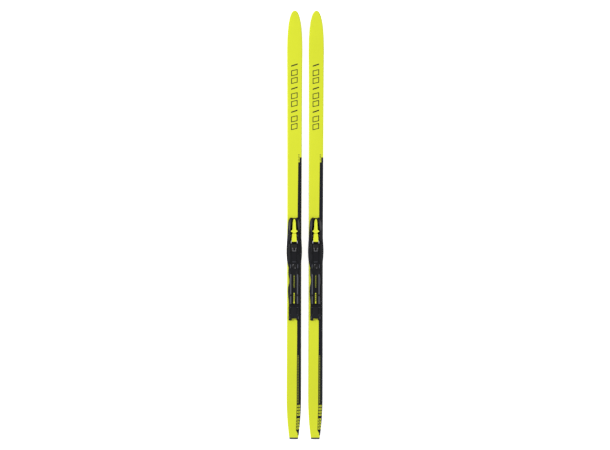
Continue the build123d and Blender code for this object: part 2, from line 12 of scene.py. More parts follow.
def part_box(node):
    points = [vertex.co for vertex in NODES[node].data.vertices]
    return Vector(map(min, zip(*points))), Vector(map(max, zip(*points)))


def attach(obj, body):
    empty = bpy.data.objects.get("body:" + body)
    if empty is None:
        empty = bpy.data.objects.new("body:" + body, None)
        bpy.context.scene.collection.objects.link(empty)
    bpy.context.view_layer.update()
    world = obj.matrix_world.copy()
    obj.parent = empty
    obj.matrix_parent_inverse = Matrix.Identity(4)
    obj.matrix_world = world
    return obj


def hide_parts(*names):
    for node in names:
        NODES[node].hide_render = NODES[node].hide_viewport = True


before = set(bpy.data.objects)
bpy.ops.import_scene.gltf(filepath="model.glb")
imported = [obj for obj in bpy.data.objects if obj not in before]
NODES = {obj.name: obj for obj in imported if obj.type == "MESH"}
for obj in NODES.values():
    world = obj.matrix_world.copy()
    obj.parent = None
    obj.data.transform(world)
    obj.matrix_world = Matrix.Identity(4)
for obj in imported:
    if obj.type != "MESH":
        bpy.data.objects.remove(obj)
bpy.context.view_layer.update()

bl_info = {
    "name": "Cross Country Ski Finisher",
    "version": (1, 0, 0),
    "blender": (4, 5, 0),
    "location": "View3D > Sidebar > Skis",
    "description": "Builds the visible skins, fittings and finishes of a pair of skis",
    "category": "Object",
}

MM = 0.001
SIDES = ("left", "right")
CENTRE = {s: sum(c.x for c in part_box(f"{s}_base")) / 2 for s in SIDES}

# ---- places along one ski, in millimetres from the middle of its length -------------------------
TIP = 700.0
TAIL = -700.0
GUARD_FRONT = -694.4
SHOVEL, SHOVEL_HALF = 566.0, 25.3
WAIST, WAIST_HALF = -190.0, 23.3
TAIL_WIDE, TAIL_HALF = -562.0, 23.9
TAIL_END_HALF = 14.5
CORNER = 3.0
FRONT_CONTACT, REAR_CONTACT = 485.0, -626.0
ARCH_TOP = -142.0
FLAT = (-322.0, 38.0)
CAMBER, TIP_RISE, TAIL_RISE = 12.0, 54.0, 6.0
DECK, END_THICK = 35.0, 6.5
BLEND = 0.32
BASE_THICK = 1.35
WALL = 0.9

LOCK_Y = -133.9
SCREW_X = 12.6
FRONT_SCREW_Y, REAR_SCREW_Y = -90.6, -228.5
HOUSING_REAR, HOUSING_FRONT = -141.0, 21.7
FRONT_ROUNDING, FRONT_FOOT = 4.0, 4.4  # length of the rounded front end, and its lowest top
BAR_WAY, BAR_WAY_TOP = (-60.72, -49.95), 8.95  # where the boot's toe bar crosses the housing
LOCK_TOP = 9.15


# ---- shape of the ski ---------------------------------------------------------------------------
def slope_drop(distance, span, drop):
    """Fall along a slope of two tangent arcs, level at both ends."""
    angle = 2 * math.atan(drop / span)
    radius = span / math.sin(angle)
    upper, lower = (1 - BLEND) * radius, BLEND * radius
    if distance <= upper * math.sin(angle):
        return upper - math.sqrt(upper**2 - distance**2)
    return drop - (lower - math.sqrt(lower**2 - (span - distance) ** 2))


def end_lift(distance, span, rise):
    """Rise along an arc that starts level."""
    angle = 2 * math.atan(rise / span)
    radius = span / math.sin(angle)
    return radius - math.sqrt(radius**2 - distance**2)


def height(y, crown, end, flat):
    """Height of a surface that is flat in the middle, slopes to its ends and lifts past them."""
    if y > FRONT_CONTACT:
        return end + end_lift(min(y, TIP) - FRONT_CONTACT, TIP - FRONT_CONTACT, TIP_RISE)
    if y < REAR_CONTACT:
        return end + end_lift(REAR_CONTACT - y, REAR_CONTACT - TAIL, TAIL_RISE)
    if y > flat[1]:
        return crown - slope_drop(y - flat[1], FRONT_CONTACT - flat[1], crown - end)
    if y < flat[0]:
        return crown - slope_drop(flat[0] - y, flat[0] - REAR_CONTACT, crown - end)
    return crown


def under(y):
    """Height of the running surface above the snow."""
    return height(y, CAMBER, 0.0, (ARCH_TOP, ARCH_TOP))


def over(y):
    """Height of the ski's top above the snow."""
    return height(y, DECK, END_THICK, FLAT)


def bezier(points, t):
    a, b, c, d = points
    s = 1 - t
    return tuple(
        s**3 * a[k] + 3 * s * s * t * b[k] + 3 * s * t * t * c[k] + t**3 * d[k] for k in (0, 1)
    )


def outline_table():
    """(y, half width) down the right side of the ski, from tail to tip."""
    nose = 0.29 * (TIP - SHOVEL)
    tip = [(0, TIP), (0.62 * SHOVEL_HALF, TIP), (SHOVEL_HALF, TIP - nose), (SHOVEL_HALF, SHOVEL)]
    taper = TAIL_WIDE - TAIL
    heel = [
        (TAIL_HALF, TAIL_WIDE),
        (TAIL_HALF, TAIL_WIDE - 0.37 * taper),
        (TAIL_END_HALF + 0.04 * taper, TAIL + CORNER + 0.25 * taper),
        (TAIL_END_HALF, TAIL + CORNER),
    ]
    rows = [bezier(tip, (k / 160) ** 1.6) for k in range(161)]
    (x1, y1), (x2, y2), (x3, y3) = (
        (SHOVEL_HALF, SHOVEL),
        (WAIST_HALF, WAIST),
        (TAIL_HALF, TAIL_WIDE),
    )
    for k in range(1, 60):  # the sidecut, as the parabola through three points
        y = y1 + (y3 - y1) * k / 60
        x = (
            x1 * (y - y2) * (y - y3) / ((y1 - y2) * (y1 - y3))
            + x2 * (y - y1) * (y - y3) / ((y2 - y1) * (y2 - y3))
            + x3 * (y - y1) * (y - y2) / ((y3 - y1) * (y3 - y2))
        )
        rows.append((x, y))
    rows += [bezier(heel, k / 40) for k in range(41)]
    for k in range(1, 9):
        a = math.pi / 2 * k / 8
        rows.append(
            (TAIL_END_HALF - CORNER * (1 - math.cos(a)), TAIL + CORNER * (1 - math.sin(a)))
        )
    return sorted((y, x) for x, y in rows)


OUTLINE = outline_table()


def table_at(table, t):
    """Value of a sorted table of (place, value) rows, in straight lines between rows."""
    if t <= table[0][0]:
        return table[0][1]
    for (a, u), (b, v) in zip(table, table[1:]):
        if t <= b:
            return v if b == a else u + (v - u) * (t - a) / (b - a)
    return table[-1][1]


def half_width(y):
    return table_at(OUTLINE, y)


def edge_slope(y):
    a, b = max(TAIL, y - 0.2), min(TIP, y + 0.2)
    return (half_width(b) - half_width(a)) / (b - a)


def skin_height(x, y, radius):
    """Top of the ski's skin, with a slight crown and rounded shoulders."""
    half = half_width(y)
    inside = max(0.0, (half - abs(x)) / math.hypot(1, edge_slope(y)))
    inside = min(inside, y - TAIL)
    crown = 0.22 * (x / max(half, 1)) ** 2
    top = over(y) - crown
    if inside < radius:
        top -= radius - math.sqrt(max(0.0, radius**2 - (radius - inside) ** 2))
    return top


# ---- meshes -------------------------------------------------------------------------------------
class Skin:
    """Points, faces and a material number for each face, of one piece in ski coordinates."""

    def __init__(self):
        self.points, self.faces, self.slots = [], [], []

    def row(self, points):
        start = len(self.points)
        self.points += [tuple(p) for p in points]
        return list(range(start, len(self.points)))

    def face(self, corners, slot=0):
        corners = [c for k, c in enumerate(corners) if c != corners[k - 1]]
        if len(corners) > 2:
            self.faces.append(corners)
            self.slots.append(slot)

    def bridge(self, a, b, slot=0, closed=False):
        """Faces between two rows; slot is a number, or a function of the place in the row."""
        count = len(a) if closed else len(a) - 1
        for k in range(count):
            n = (k + 1) % len(a)
            self.face([a[k], a[n], b[n], b[k]], slot(k) if callable(slot) else slot)

    def loft(self, sections, slot=0):
        """A closed skin through closed sections, with flat ends."""
        rows = [self.row(s) for s in sections]
        for a, b in zip(rows, rows[1:]):
            self.bridge(a, b, slot, closed=True)
        ends = slot(0) if callable(slot) else slot
        self.face(rows[0][::-1], ends)
        self.face(rows[-1], ends)

    def prism(self, outline, low, high, slot=0):
        """A plan outline of (x, y) between two heights."""
        self.loft([[(x, y, z) for x, y in outline] for z in (low, high)], slot)

    def side_prism(self, outline, x0, x1, slot=0):
        """A side outline of (y, z) between two x values."""
        self.loft([[(x, y, z) for y, z in outline] for x in (x0, x1)], slot)

    def mesh(self, name, materials, sharp=32.0, bevel=0.0, segments=3, cutters=()):
        """A finished mesh in metres, with its normals outwards and its hard edges marked."""
        mesh = bpy.data.meshes.new(name)
        mesh.from_pydata([Vector(p) * MM for p in self.points], [], self.faces)
        mesh.polygons.foreach_set("material_index", self.slots)
        for material in materials:
            mesh.materials.append(material)
        tidy(mesh)
        if cutters or bevel:
            mesh = worked(mesh, bevel, segments, cutters)
            tidy(mesh)
        mesh.shade_smooth()
        mesh.set_sharp_from_angle(angle=math.radians(sharp))
        mesh.name = name
        return mesh


def tidy(mesh):
    form = bmesh.new()
    form.from_mesh(mesh)
    bmesh.ops.remove_doubles(form, verts=form.verts, dist=2e-6)
    bmesh.ops.dissolve_degenerate(form, edges=form.edges, dist=1e-7)
    bmesh.ops.recalc_face_normals(form, faces=form.faces)
    form.to_mesh(mesh)
    form.free()


def worked(mesh, bevel, segments, cutters):
    """The mesh after its cutters are taken away and its hard edges rounded."""
    holder = bpy.data.objects.new("work", mesh)
    bpy.context.collection.objects.link(holder)
    spare = [holder]
    for cutter in cutters:
        tool = bpy.data.objects.new("tool", cutter)
        bpy.context.collection.objects.link(tool)
        spare.append(tool)
        cut = holder.modifiers.new("cut", "BOOLEAN")
        cut.operation, cut.solver, cut.object = "DIFFERENCE", "EXACT", tool
    if bevel:
        edge = holder.modifiers.new("edge", "BEVEL")
        edge.width, edge.segments, edge.limit_method = bevel * MM, segments, "ANGLE"
        edge.angle_limit = math.radians(38)
        edge.use_clamp_overlap = True
    depsgraph = bpy.context.evaluated_depsgraph_get()
    made = bpy.data.meshes.new_from_object(holder.evaluated_get(depsgraph))
    for item in spare:
        bpy.data.objects.remove(item)
    return made


def ring(x, y, a, b, count):
    """Points round an ellipse in plan; a and b are its half lengths along x and y."""
    turns = [2 * math.pi * k / count for k in range(count)]
    return [(x + a * math.cos(t), y + b * math.sin(t)) for t in turns]


def turned(profile, count):
    """A closed skin turned about z from a profile of (radius, z)."""
    skin = Skin()
    skin.loft([[(x, y, z) for x, y in ring(0, 0, radius, radius, count)] for radius, z in profile])
    return skin


def mirrored(right):
    """The points of a right half, then their mirror images in reverse order."""
    return right + [(-x, other) for x, other in reversed(right)]


def section(y, right):
    """A whole section across the ski at y, from the (x, z) points of its right half."""
    return [(x, y, z) for x, z in mirrored(right)]


def cutter(outline, low, high):
    """A mesh to be taken away from another."""
    tool = Skin()
    tool.prism(outline, low, high)
    return tool.mesh("cutter", [])


def box_outline(x0, x1, y0, y1):
    return [(x0, y0), (x1, y0), (x1, y1), (x0, y1)]


def place(name, mesh, body, replaces=(), lift=DECK):
    """Sets one copy of a piece on each ski and lets it ride on that ski's body."""
    made = []
    for side in SIDES:
        copy = mesh.copy()
        copy.transform(Matrix.Translation((CENTRE[side], 0, lift * MM)))
        copy.name = f"{side}_{name}"
        item = bpy.data.objects.new(f"{side}_{name}", copy)
        bpy.context.collection.objects.link(item)
        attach(item, f"{side}_{body}")
        if replaces:
            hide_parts(*[f"{side}_{node}" for node in replaces])
        made.append(item)
    return made


def dress(node, material):
    """Gives a carried-over CAD piece of both skis its finish."""
    for side in SIDES:
        data = NODES[f"{side}_{node}"].data
        data.materials.clear()
        data.materials.append(material)


# ---- shader groups and materials ------------------------------------------------------------------
def socket(tree, name, kind, value=None, way="INPUT"):
    made = tree.interface.new_socket(name=name, in_out=way, socket_type=kind)
    if value is not None:
        made.default_value = value
    return made


def shader_group(name, inputs, outputs):
    tree = bpy.data.node_groups.new(name, "ShaderNodeTree")
    for label, kind, value in inputs:
        socket(tree, label, kind, value)
    for label, kind in outputs:
        socket(tree, label, kind, way="OUTPUT")
    return tree, tree.nodes.new("NodeGroupInput"), tree.nodes.new("NodeGroupOutput")


def mix_colours(tree, mask, first, second):
    node = tree.nodes.new("ShaderNodeMix")
    node.data_type = "RGBA"
    tree.links.new(mask, node.inputs[0])
    tree.links.new(first, node.inputs[6])
    tree.links.new(second, node.inputs[7])
    return node.outputs[2]


def noise_node(tree, vector, scale, detail=3.0, roughness=0.55):
    node = tree.nodes.new("ShaderNodeTexNoise")
    node.inputs["Detail"].default_value = detail
    node.inputs["Roughness"].default_value = roughness
    tree.links.new(vector, node.inputs["Vector"])
    tree.links.new(scale, node.inputs["Scale"])
    return node.outputs["Fac"]


def feed(tree, item, target):
    """Puts a number on a socket, or links another socket to it."""
    if isinstance(item, (int, float)):
        target.default_value = item
    else:
        tree.links.new(item, target)


def spread(tree, value, low, high, to_low, to_high):
    """Maps a value's range to another; the last two may be sockets."""
    node = tree.nodes.new("ShaderNodeMapRange")
    tree.links.new(value, node.inputs["Value"])
    for label, item in (
        ("From Min", low),
        ("From Max", high),
        ("To Min", to_low),
        ("To Max", to_high),
    ):
        feed(tree, item, node.inputs[label])
    return node.outputs["Result"]


VECTOR_IN = ("Vector", "NodeSocketVector", None)
COLOUR, NUMBER = "NodeSocketColor", "NodeSocketFloat"


def mottle_group():
    """Faint unevenness of colour, gloss and height, as on moulded or lacquered plastic."""
    tree, given, out = shader_group(
        "surface_mottle",
        [
            VECTOR_IN,
            ("Base", COLOUR, (0.5, 0.5, 0.5, 1)),
            ("Shade", COLOUR, (0.4, 0.4, 0.4, 1)),
            ("Patch Scale", NUMBER, 14.0),
            ("Grain Scale", NUMBER, 1800.0),
            ("Gloss Low", NUMBER, 0.3),
            ("Gloss High", NUMBER, 0.5),
        ],
        [("Color", COLOUR), ("Roughness", NUMBER), ("Height", NUMBER)],
    )
    use = given.outputs
    patch = noise_node(tree, use["Vector"], use["Patch Scale"])
    grain = noise_node(tree, use["Vector"], use["Grain Scale"], 2.0)
    mask = spread(tree, patch, 0.3, 0.7, 0.0, 1.0)
    tree.links.new(mix_colours(tree, mask, use["Base"], use["Shade"]), out.inputs["Color"])
    gloss = spread(tree, grain, 0.3, 0.7, use["Gloss Low"], use["Gloss High"])
    tree.links.new(gloss, out.inputs["Roughness"])
    tree.links.new(grain, out.inputs["Height"])
    return tree


def streak_group():
    """Fine parallel lines, as on brushed metal, laminate fibres or wood grain."""
    tree, given, out = shader_group(
        "fine_streaks",
        [
            VECTOR_IN,
            ("Stretch", "NodeSocketVector", (1.0, 1.0, 1.0)),
            ("Base", COLOUR, (0.5, 0.5, 0.5, 1)),
            ("Line", COLOUR, (0.4, 0.4, 0.4, 1)),
            ("Scale", NUMBER, 400.0),
            ("Gloss Low", NUMBER, 0.2),
            ("Gloss High", NUMBER, 0.4),
        ],
        [("Color", COLOUR), ("Roughness", NUMBER), ("Height", NUMBER)],
    )
    use = given.outputs
    pull = tree.nodes.new("ShaderNodeVectorMath")
    pull.operation = "MULTIPLY"
    tree.links.new(use["Vector"], pull.inputs[0])
    tree.links.new(use["Stretch"], pull.inputs[1])
    lines = noise_node(tree, pull.outputs[0], use["Scale"], 4.0, 0.65)
    mask = spread(tree, lines, 0.35, 0.65, 0.0, 1.0)
    tree.links.new(mix_colours(tree, mask, use["Base"], use["Line"]), out.inputs["Color"])
    gloss = spread(tree, lines, 0.3, 0.7, use["Gloss Low"], use["Gloss High"])
    tree.links.new(gloss, out.inputs["Roughness"])
    tree.links.new(lines, out.inputs["Height"])
    return tree


GROUPS = {}
MATERIALS = {}


def group(name):
    if name not in GROUPS:
        GROUPS[name] = {"mottle": mottle_group, "streak": streak_group}[name]()
    return GROUPS[name]


def material(name, kind, values, bump=0.0, bump_depth=0.0001, **shader):
    """One finish: a shared group feeding this material's own shader."""
    if name in MATERIALS:
        return MATERIALS[name]
    made = bpy.data.materials.new(name)
    made.use_nodes = True
    tree = made.node_tree
    surface = tree.nodes["Principled BSDF"]
    for label, value in shader.items():
        surface.inputs[label.replace("_", " ")].default_value = value
    place_node = tree.nodes.new("ShaderNodeTexCoord")
    effect = tree.nodes.new("ShaderNodeGroup")
    effect.node_tree = group(kind)
    for label, value in values.items():
        effect.inputs[label].default_value = value
    tree.links.new(place_node.outputs["Object"], effect.inputs["Vector"])
    tree.links.new(effect.outputs["Color"], surface.inputs["Base Color"])
    tree.links.new(effect.outputs["Roughness"], surface.inputs["Roughness"])
    if bump:
        relief = tree.nodes.new("ShaderNodeBump")
        relief.inputs["Strength"].default_value = bump
        relief.inputs["Distance"].default_value = bump_depth
        tree.links.new(effect.outputs["Height"], relief.inputs["Height"])
        tree.links.new(relief.outputs["Normal"], surface.inputs["Normal"])
    MATERIALS[name] = made
    return made


def plastic(name, colour, shade=0.9, gloss=(0.35, 0.5), bump=0.15, grain=1800.0, **shader):
    base = (*colour, 1)
    shader.setdefault("Specular_IOR_Level", 0.22)
    values = {
        "Base": base,
        "Shade": (*[c * shade for c in colour], 1),
        "Grain Scale": grain,
        "Gloss Low": gloss[0],
        "Gloss High": gloss[1],
    }
    return material(name, "mottle", values, bump, 0.00008, **shader)


def brushed(name, colour, stretch, gloss=(0.22, 0.4), line=0.82, scale=500.0, metal=1.0, **shader):
    values = {
        "Stretch": stretch,
        "Base": (*colour, 1),
        "Line": (*[c * line for c in colour], 1),
        "Scale": scale,
        "Gloss Low": gloss[0],
        "Gloss High": gloss[1],
    }
    return material(name, "streak", values, 0.12, 0.00005, Metallic=metal, **shader)


def colours():
    return bpy.context.scene.ski_colours


def sizes():
    return bpy.context.scene.ski_sizes


def lacquer_yellow():
    return plastic(
        "lacquer_yellow", tuple(colours().skin), 0.965, (0.28, 0.36), 0.05, 700.0,
        Coat_Weight=0.08, Coat_Roughness=0.15,
    )


def lacquer_dark():
    return plastic(
        "lacquer_dark", tuple(colours().stripe), 0.85, (0.28, 0.38), 0.05, 700.0,
        Coat_Weight=0.08, Coat_Roughness=0.15,
    )


def ink_black():
    return plastic("ink_black", tuple(colours().print_black), 0.8, (0.35, 0.45), 0.03)


def accent_yellow():
    return plastic("accent_yellow", tuple(colours().accent), 0.96, (0.3, 0.42), 0.08, 1500.0)


def moulded_black():
    return plastic("moulded_black", tuple(colours().housing), 0.75, (0.36, 0.52), 0.3, 2600.0)


def painted_shade_black():
    """The same plastic painted darker as shade, where it is sunk and out of the light."""
    return plastic(
        "painted_shade_black", (0.004, 0.004, 0.004), 0.8, (0.75, 0.85), 0.2, 2600.0, Specular_IOR_Level=0.05
    )


def plate_black():
    return plastic("plate_black", tuple(colours().plate), 0.8, (0.4, 0.55), 0.25, 2400.0)


def bright_steel():
    return brushed("bright_steel", (0.62, 0.63, 0.65), (0.06, 1.0, 1.0))


# ---- the ski's own pieces --------------------------------------------------------------------------
STRIPE_TOP, STRIPE_STEP, STRIPE_POINT, STRIPE_END = 222.0, 206.0, -671.0, -687.0
STRIPE_COLUMNS = 11  # columns of the cap's skin from the stripe's left edge on
TIP_STRETCH = 45.0  # the finely divided end of the skin
STRIPE_EDGE = [
    (STRIPE_END, 16.0), (STRIPE_POINT, 7.2), (-641, 7.7), (-600, 9.2), (-460, 9.4), (-380, 10.0),
    (0, 10.5), (60, 10.8), (STRIPE_STEP, 12.3),
]


def stripe_edge(y):
    """Left edge of the dark stripe."""
    if y > STRIPE_STEP:
        return 17.2
    return table_at(STRIPE_EDGE, y)


def stations(low, high, step):
    """Places along the ski, close together at the tip and at the stripe's corners."""
    fine = [0, 0.04, 0.16, 0.4, 0.8, 1.4, 2.2, 3.2, 4.5, 6.2, 8.5, 11.5, 15, 20, 26, 33, 41]
    places = {TIP - d for d in fine}
    count = int((high - low) / step)
    places |= {low + (high - TIP_STRETCH - low) * k / count for k in range(count + 1)}
    for y in (STRIPE_TOP, STRIPE_STEP, STRIPE_POINT, STRIPE_END):
        places |= {y, y + 0.04}
    return sorted(y for y in places if low <= y <= high)


def skin_columns(y, radius, inset):
    """(x, z) across the skin at one station, from the left lower edge to the right one."""
    half = max(half_width(y) - inset, 0.0)
    bottom = under(y) + BASE_THICK
    turn = [radius * (1 - math.cos(math.pi / 2 * k / 6)) for k in range(7)]
    squeeze = min(1.0, half / (3.0 * radius))
    offsets = [t * squeeze for t in turn]
    edge = half - offsets[-1]
    split = min(stripe_edge(y), edge - 0.4 * squeeze)
    if half < 20 and y > 0:  # towards the tip the columns stay evenly spread
        split = edge * 0.5
    xs = [-half + o for o in offsets]
    xs += [-edge + (split + edge) * k / 7 for k in range(1, 7)]
    xs += [split + (edge - split) * k / 3 for k in range(0, 3)]
    xs += [half - o for o in reversed(offsets)]
    rows = []
    for x in xs:
        top = skin_height(x, y, radius) if half > 0 else over(y) - radius
        rows.append((x, max(top - inset, bottom + 0.05)))
    return [(-half, bottom), *rows, (half, bottom)]


def cap_skin(radius):
    """The shell: outer skin, inner skin, and the edges that join them."""
    skin = Skin()
    places = stations(GUARD_FRONT, TIP, 7.0)
    outer = [skin.row((x, y, z) for x, z in skin_columns(y, radius, 0.0)) for y in places]
    inner_places = [y for y in places if y < TIP - 3.0]
    inner = [skin.row((x, y, z) for x, z in skin_columns(y, radius, WALL)) for y in inner_places]
    split = len(skin_columns(0.0, radius, 0.0)) - STRIPE_COLUMNS

    def colour_of(y):
        striped = STRIPE_END <= y < STRIPE_TOP
        return lambda k: 1 if striped and k >= split else 0

    for k in range(len(places) - 1):
        middle = (places[k] + places[k + 1]) / 2
        skin.bridge(outer[k], outer[k + 1], colour_of(middle))
    for a, b in zip(inner, inner[1:]):
        skin.bridge(b, a)
    skin.bridge(inner[0], outer[0])
    count = len(inner)
    for column in (0, -1):
        for k in range(count - 1):
            skin.face([outer[k][column], outer[k + 1][column], inner[k + 1][column], inner[k][column]])
    nose = [row[0] for row in outer[count - 1 :]]
    nose += [row[-1] for row in reversed(outer[count - 1 :])]
    skin.face([*nose, inner[-1][-1], inner[-1][0]])
    skin.face(inner[-1])
    return skin


def decal(skin, corners, slot, radius, lift=0.06, depth=0.35):
    """A thin printed patch on the skin, between two slanted ends.

    corners are (x0, x1, rear y at x0, rear y at x1, front y at x0, front y at x1).
    """
    x0, x1, rear0, rear1, front0, front1 = corners
    across, along = 5, max(2, int((front0 - rear0) / 8))
    tops, bottoms = [], []
    for j in range(along + 1):
        t = j / along
        top, bottom = [], []
        for i in range(across + 1):
            u = i / across
            x = x0 + (x1 - x0) * u
            rear, front = rear0 + (rear1 - rear0) * u, front0 + (front1 - front0) * u
            y = rear + (front - rear) * t
            z = skin_height(x, y, radius)
            top.append((x, y, z + lift))
            bottom.append((x, y, z - depth))
        tops.append(skin.row(top))
        bottoms.append(skin.row(bottom))
    for j in range(along):
        skin.bridge(tops[j], tops[j + 1], slot)
        skin.bridge(bottoms[j + 1], bottoms[j], slot)
        for c in (0, -1):
            skin.face([tops[j][c], tops[j + 1][c], bottoms[j + 1][c], bottoms[j][c]], slot)
    for j in (0, -1):
        skin.bridge(tops[j], bottoms[j], slot)


def slanted_box(skin, x0, x1, rear, front, line, slot, radius, slant=5.0):
    """An open box of four printed strokes, its sides slanted along the ski."""
    step = slant * line / (x1 - x0)
    left, right = x0 + line + 0.02, x1 - line - 0.02
    low, high = step, slant - step
    strokes = (
        (x0, x0 + line, rear, rear + step, front, front + step),
        (x1 - line, x1, rear + high, rear + slant, front + high, front + slant),
        (left, right, rear + low, rear + high, rear + line + low, rear + line + high),
        (left, right, front - line + low, front - line + high, front + low, front + high),
    )
    for corners in strokes:
        decal(skin, corners, slot, radius)


class SKI_OT_cap_shells(bpy.types.Operator):
    """Build the lacquered cap of each ski, with its dark side stripe"""

    bl_idname = "ski.cap_shells"
    bl_label = "Cap Shells"

    def execute(self, context):
        skin = cap_skin(sizes().shoulder_radius / MM)
        mesh = skin.mesh("cap_shell", [lacquer_yellow(), lacquer_dark()], 40)
        place("cap_shell", mesh, "ski", ["cap"], 0)
        return {"FINISHED"}


class SKI_OT_prints(bpy.types.Operator):
    """Print the plain bars and dashes on each cap"""

    bl_idname = "ski.prints"
    bl_label = "Printed Bars"

    def execute(self, context):
        radius = sizes().shoulder_radius / MM
        skin = Skin()
        count = sizes().bar_count
        first, last = 311.0, 538.0
        pitch = (last - first) / count
        for k in range(count):  # slanted open boxes, with a single bar after every second one
            rear = first + pitch * k
            if k % 3 == 2:
                decal(skin, (-11.4, 9.6, rear + 6, rear + 13, rear + 10, rear + 17), 0, radius)
            else:
                slanted_box(skin, -11.4, 9.6, rear, rear + 0.74 * pitch, 2.5, 0, radius)
        for rear, left in ((-668.0, 9.0), (-624.0, 10.8)):  # bright boxes near the tail
            for k in range(4):
                start = rear + 9.6 * k
                slanted_box(skin, left, left + 9.6, start, start + 6.2, 1.9, 1, radius, 1.5)
        for k in range(30):  # a fine dashed line on the stripe
            start = -582.0 + 159.0 * k / 30
            decal(skin, (11.6, 15.2, start, start, start + 3.4, start + 3.4), 2, radius)
        for k in range(5):
            start = 209.0 + 5.0 * k
            decal(skin, (12.4, 16.4, start, start, start + 3.0, start + 3.0), 2, radius)
        inks = [
            ink_black(),
            plastic("ink_yellow", tuple(colours().skin), 0.9, (0.3, 0.4), 0.03),
            plastic("ink_olive", tuple(colours().print_olive), 0.85, (0.35, 0.45), 0.03),
        ]
        place("prints", skin.mesh("prints", inks, 40), "ski", lift=0)
        return {"FINISHED"}


class SKI_OT_tail_guards(bpy.types.Operator):
    """Build the grey guard round each tail"""

    bl_idname = "ski.tail_guards"
    bl_label = "Tail Guards"

    def execute(self, context):
        skin = Skin()
        radius = 2.2
        sections = []
        for d in (0, 0.1, 0.35, 0.75, 1.3, 2.1, 2.9, 3.8, 4.6, 5.2, 5.55):
            y = TAIL + d
            half = half_width(y) if d > 0 else TAIL_END_HALF - CORNER
            low, high = under(y), over(y) + 0.4
            fall = max(0.0, radius - d)
            drop = radius - math.sqrt(radius**2 - fall**2)
            if d > 5.3:
                drop = 0.25
            low, high = low + 0.5 * drop, high - drop
            turn = [math.pi / 2 * k / 5 for k in range(6)]
            top = [(half - radius * (1 - math.sin(a)), high - radius * (1 - math.cos(a))) for a in turn]
            right = [(half - 0.5, low), (half, low + 0.5), *reversed(top)]
            sections.append(section(y, right))
        skin.loft(sections)
        grey = plastic("guard_grey", (0.075, 0.077, 0.086), 0.85, (0.4, 0.52), 0.2)
        mesh = skin.mesh("tail_cover", [grey], 35)
        place("tail_cover", mesh, "ski", ["tail_guard"], 0)
        return {"FINISHED"}


def geometry_tree(name, inputs):
    """An empty geometry tree with these inputs, and the sockets that give them."""
    tree = bpy.data.node_groups.new(name, "GeometryNodeTree")
    for label, kind, value in inputs:
        socket(tree, label, kind, value)
    socket(tree, "Geometry", "NodeSocketGeometry", way="OUTPUT")
    return tree, tree.nodes.new("NodeGroupInput").outputs


def maths(tree, operation, a, b):
    node = tree.nodes.new("ShaderNodeMath")
    node.operation = operation
    feed(tree, a, node.inputs[0])
    feed(tree, b, node.inputs[1])
    return node.outputs[0]


def vector(tree, x=0.0, y=0.0, z=0.0):
    node = tree.nodes.new("ShaderNodeCombineXYZ")
    for k, item in enumerate((x, y, z)):
        feed(tree, item, node.inputs[k])
    return node.outputs[0]


def stamp(tree, points, shape, material, rotation):
    """Ends a tree: the shape on every point, as real geometry of one material."""
    nodes, links = tree.nodes, tree.links
    source = nodes.new("GeometryNodeObjectInfo")
    links.new(shape, source.inputs["Object"])
    copies = nodes.new("GeometryNodeInstanceOnPoints")
    links.new(points, copies.inputs["Points"])
    links.new(source.outputs["Geometry"], copies.inputs["Instance"])
    links.new(rotation, copies.inputs["Rotation"])
    real = nodes.new("GeometryNodeRealizeInstances")
    links.new(copies.outputs[0], real.inputs[0])
    paint = nodes.new("GeometryNodeSetMaterial")
    links.new(real.outputs[0], paint.inputs["Geometry"])
    links.new(material, paint.inputs["Material"])
    links.new(paint.outputs[0], nodes.new("NodeGroupOutput").inputs["Geometry"])


def scale_tree():
    """Geometry nodes: staggered rows of one scale along the running base."""
    tree, use = geometry_tree(
        "grip_scales",
        (
            ("Scale", "NodeSocketObject", None),
            ("Rows", "NodeSocketInt", 60),
            ("Row Pitch", "NodeSocketFloat", 0.0048),
            ("Columns", "NodeSocketInt", 5),
            ("Column Pitch", "NodeSocketFloat", 0.0076),
            ("Stagger", "NodeSocketFloat", 0.0038),
            ("Material", "NodeSocketMaterial", None),
        ),
    )
    dots = tree.nodes.new("GeometryNodePoints")
    tree.links.new(maths(tree, "MULTIPLY", use["Rows"], use["Columns"]), dots.inputs["Count"])
    index = tree.nodes.new("GeometryNodeInputIndex").outputs[0]
    column = maths(tree, "MODULO", index, use["Columns"])
    row = maths(tree, "FLOOR", maths(tree, "DIVIDE", index, use["Columns"]), 0.0)
    half = maths(tree, "MULTIPLY", maths(tree, "SUBTRACT", use["Columns"], 1.0), 0.5)
    odd = maths(tree, "SUBTRACT", maths(tree, "MODULO", row, 2.0), 0.5)
    across = maths(tree, "MULTIPLY", maths(tree, "SUBTRACT", column, half), use["Column Pitch"])
    across = maths(tree, "ADD", across, maths(tree, "MULTIPLY", odd, use["Stagger"]))
    along = maths(tree, "MULTIPLY", row, use["Row Pitch"])
    move = tree.nodes.new("GeometryNodeSetPosition")
    tree.links.new(dots.outputs[0], move.inputs["Geometry"])
    tree.links.new(vector(tree, across, along), move.inputs["Position"])
    stamp(tree, move.outputs[0], use["Scale"], use["Material"], vector(tree))
    return tree


def grown(tree, values):
    """The plain mesh that a geometry tree makes with these inputs."""
    holder = bpy.data.objects.new("grow", bpy.data.meshes.new("grow"))
    bpy.context.collection.objects.link(holder)
    modifier = holder.modifiers.new("grow", "NODES")
    modifier.node_group = tree
    for item in tree.interface.items_tree:
        if item.item_type == "SOCKET" and item.in_out == "INPUT" and item.name in values:
            modifier[item.identifier] = values[item.name]
    depsgraph = bpy.context.evaluated_depsgraph_get()
    mesh = bpy.data.meshes.new_from_object(holder.evaluated_get(depsgraph))
    holder.modifiers.clear()
    bpy.data.objects.remove(holder)
    return mesh


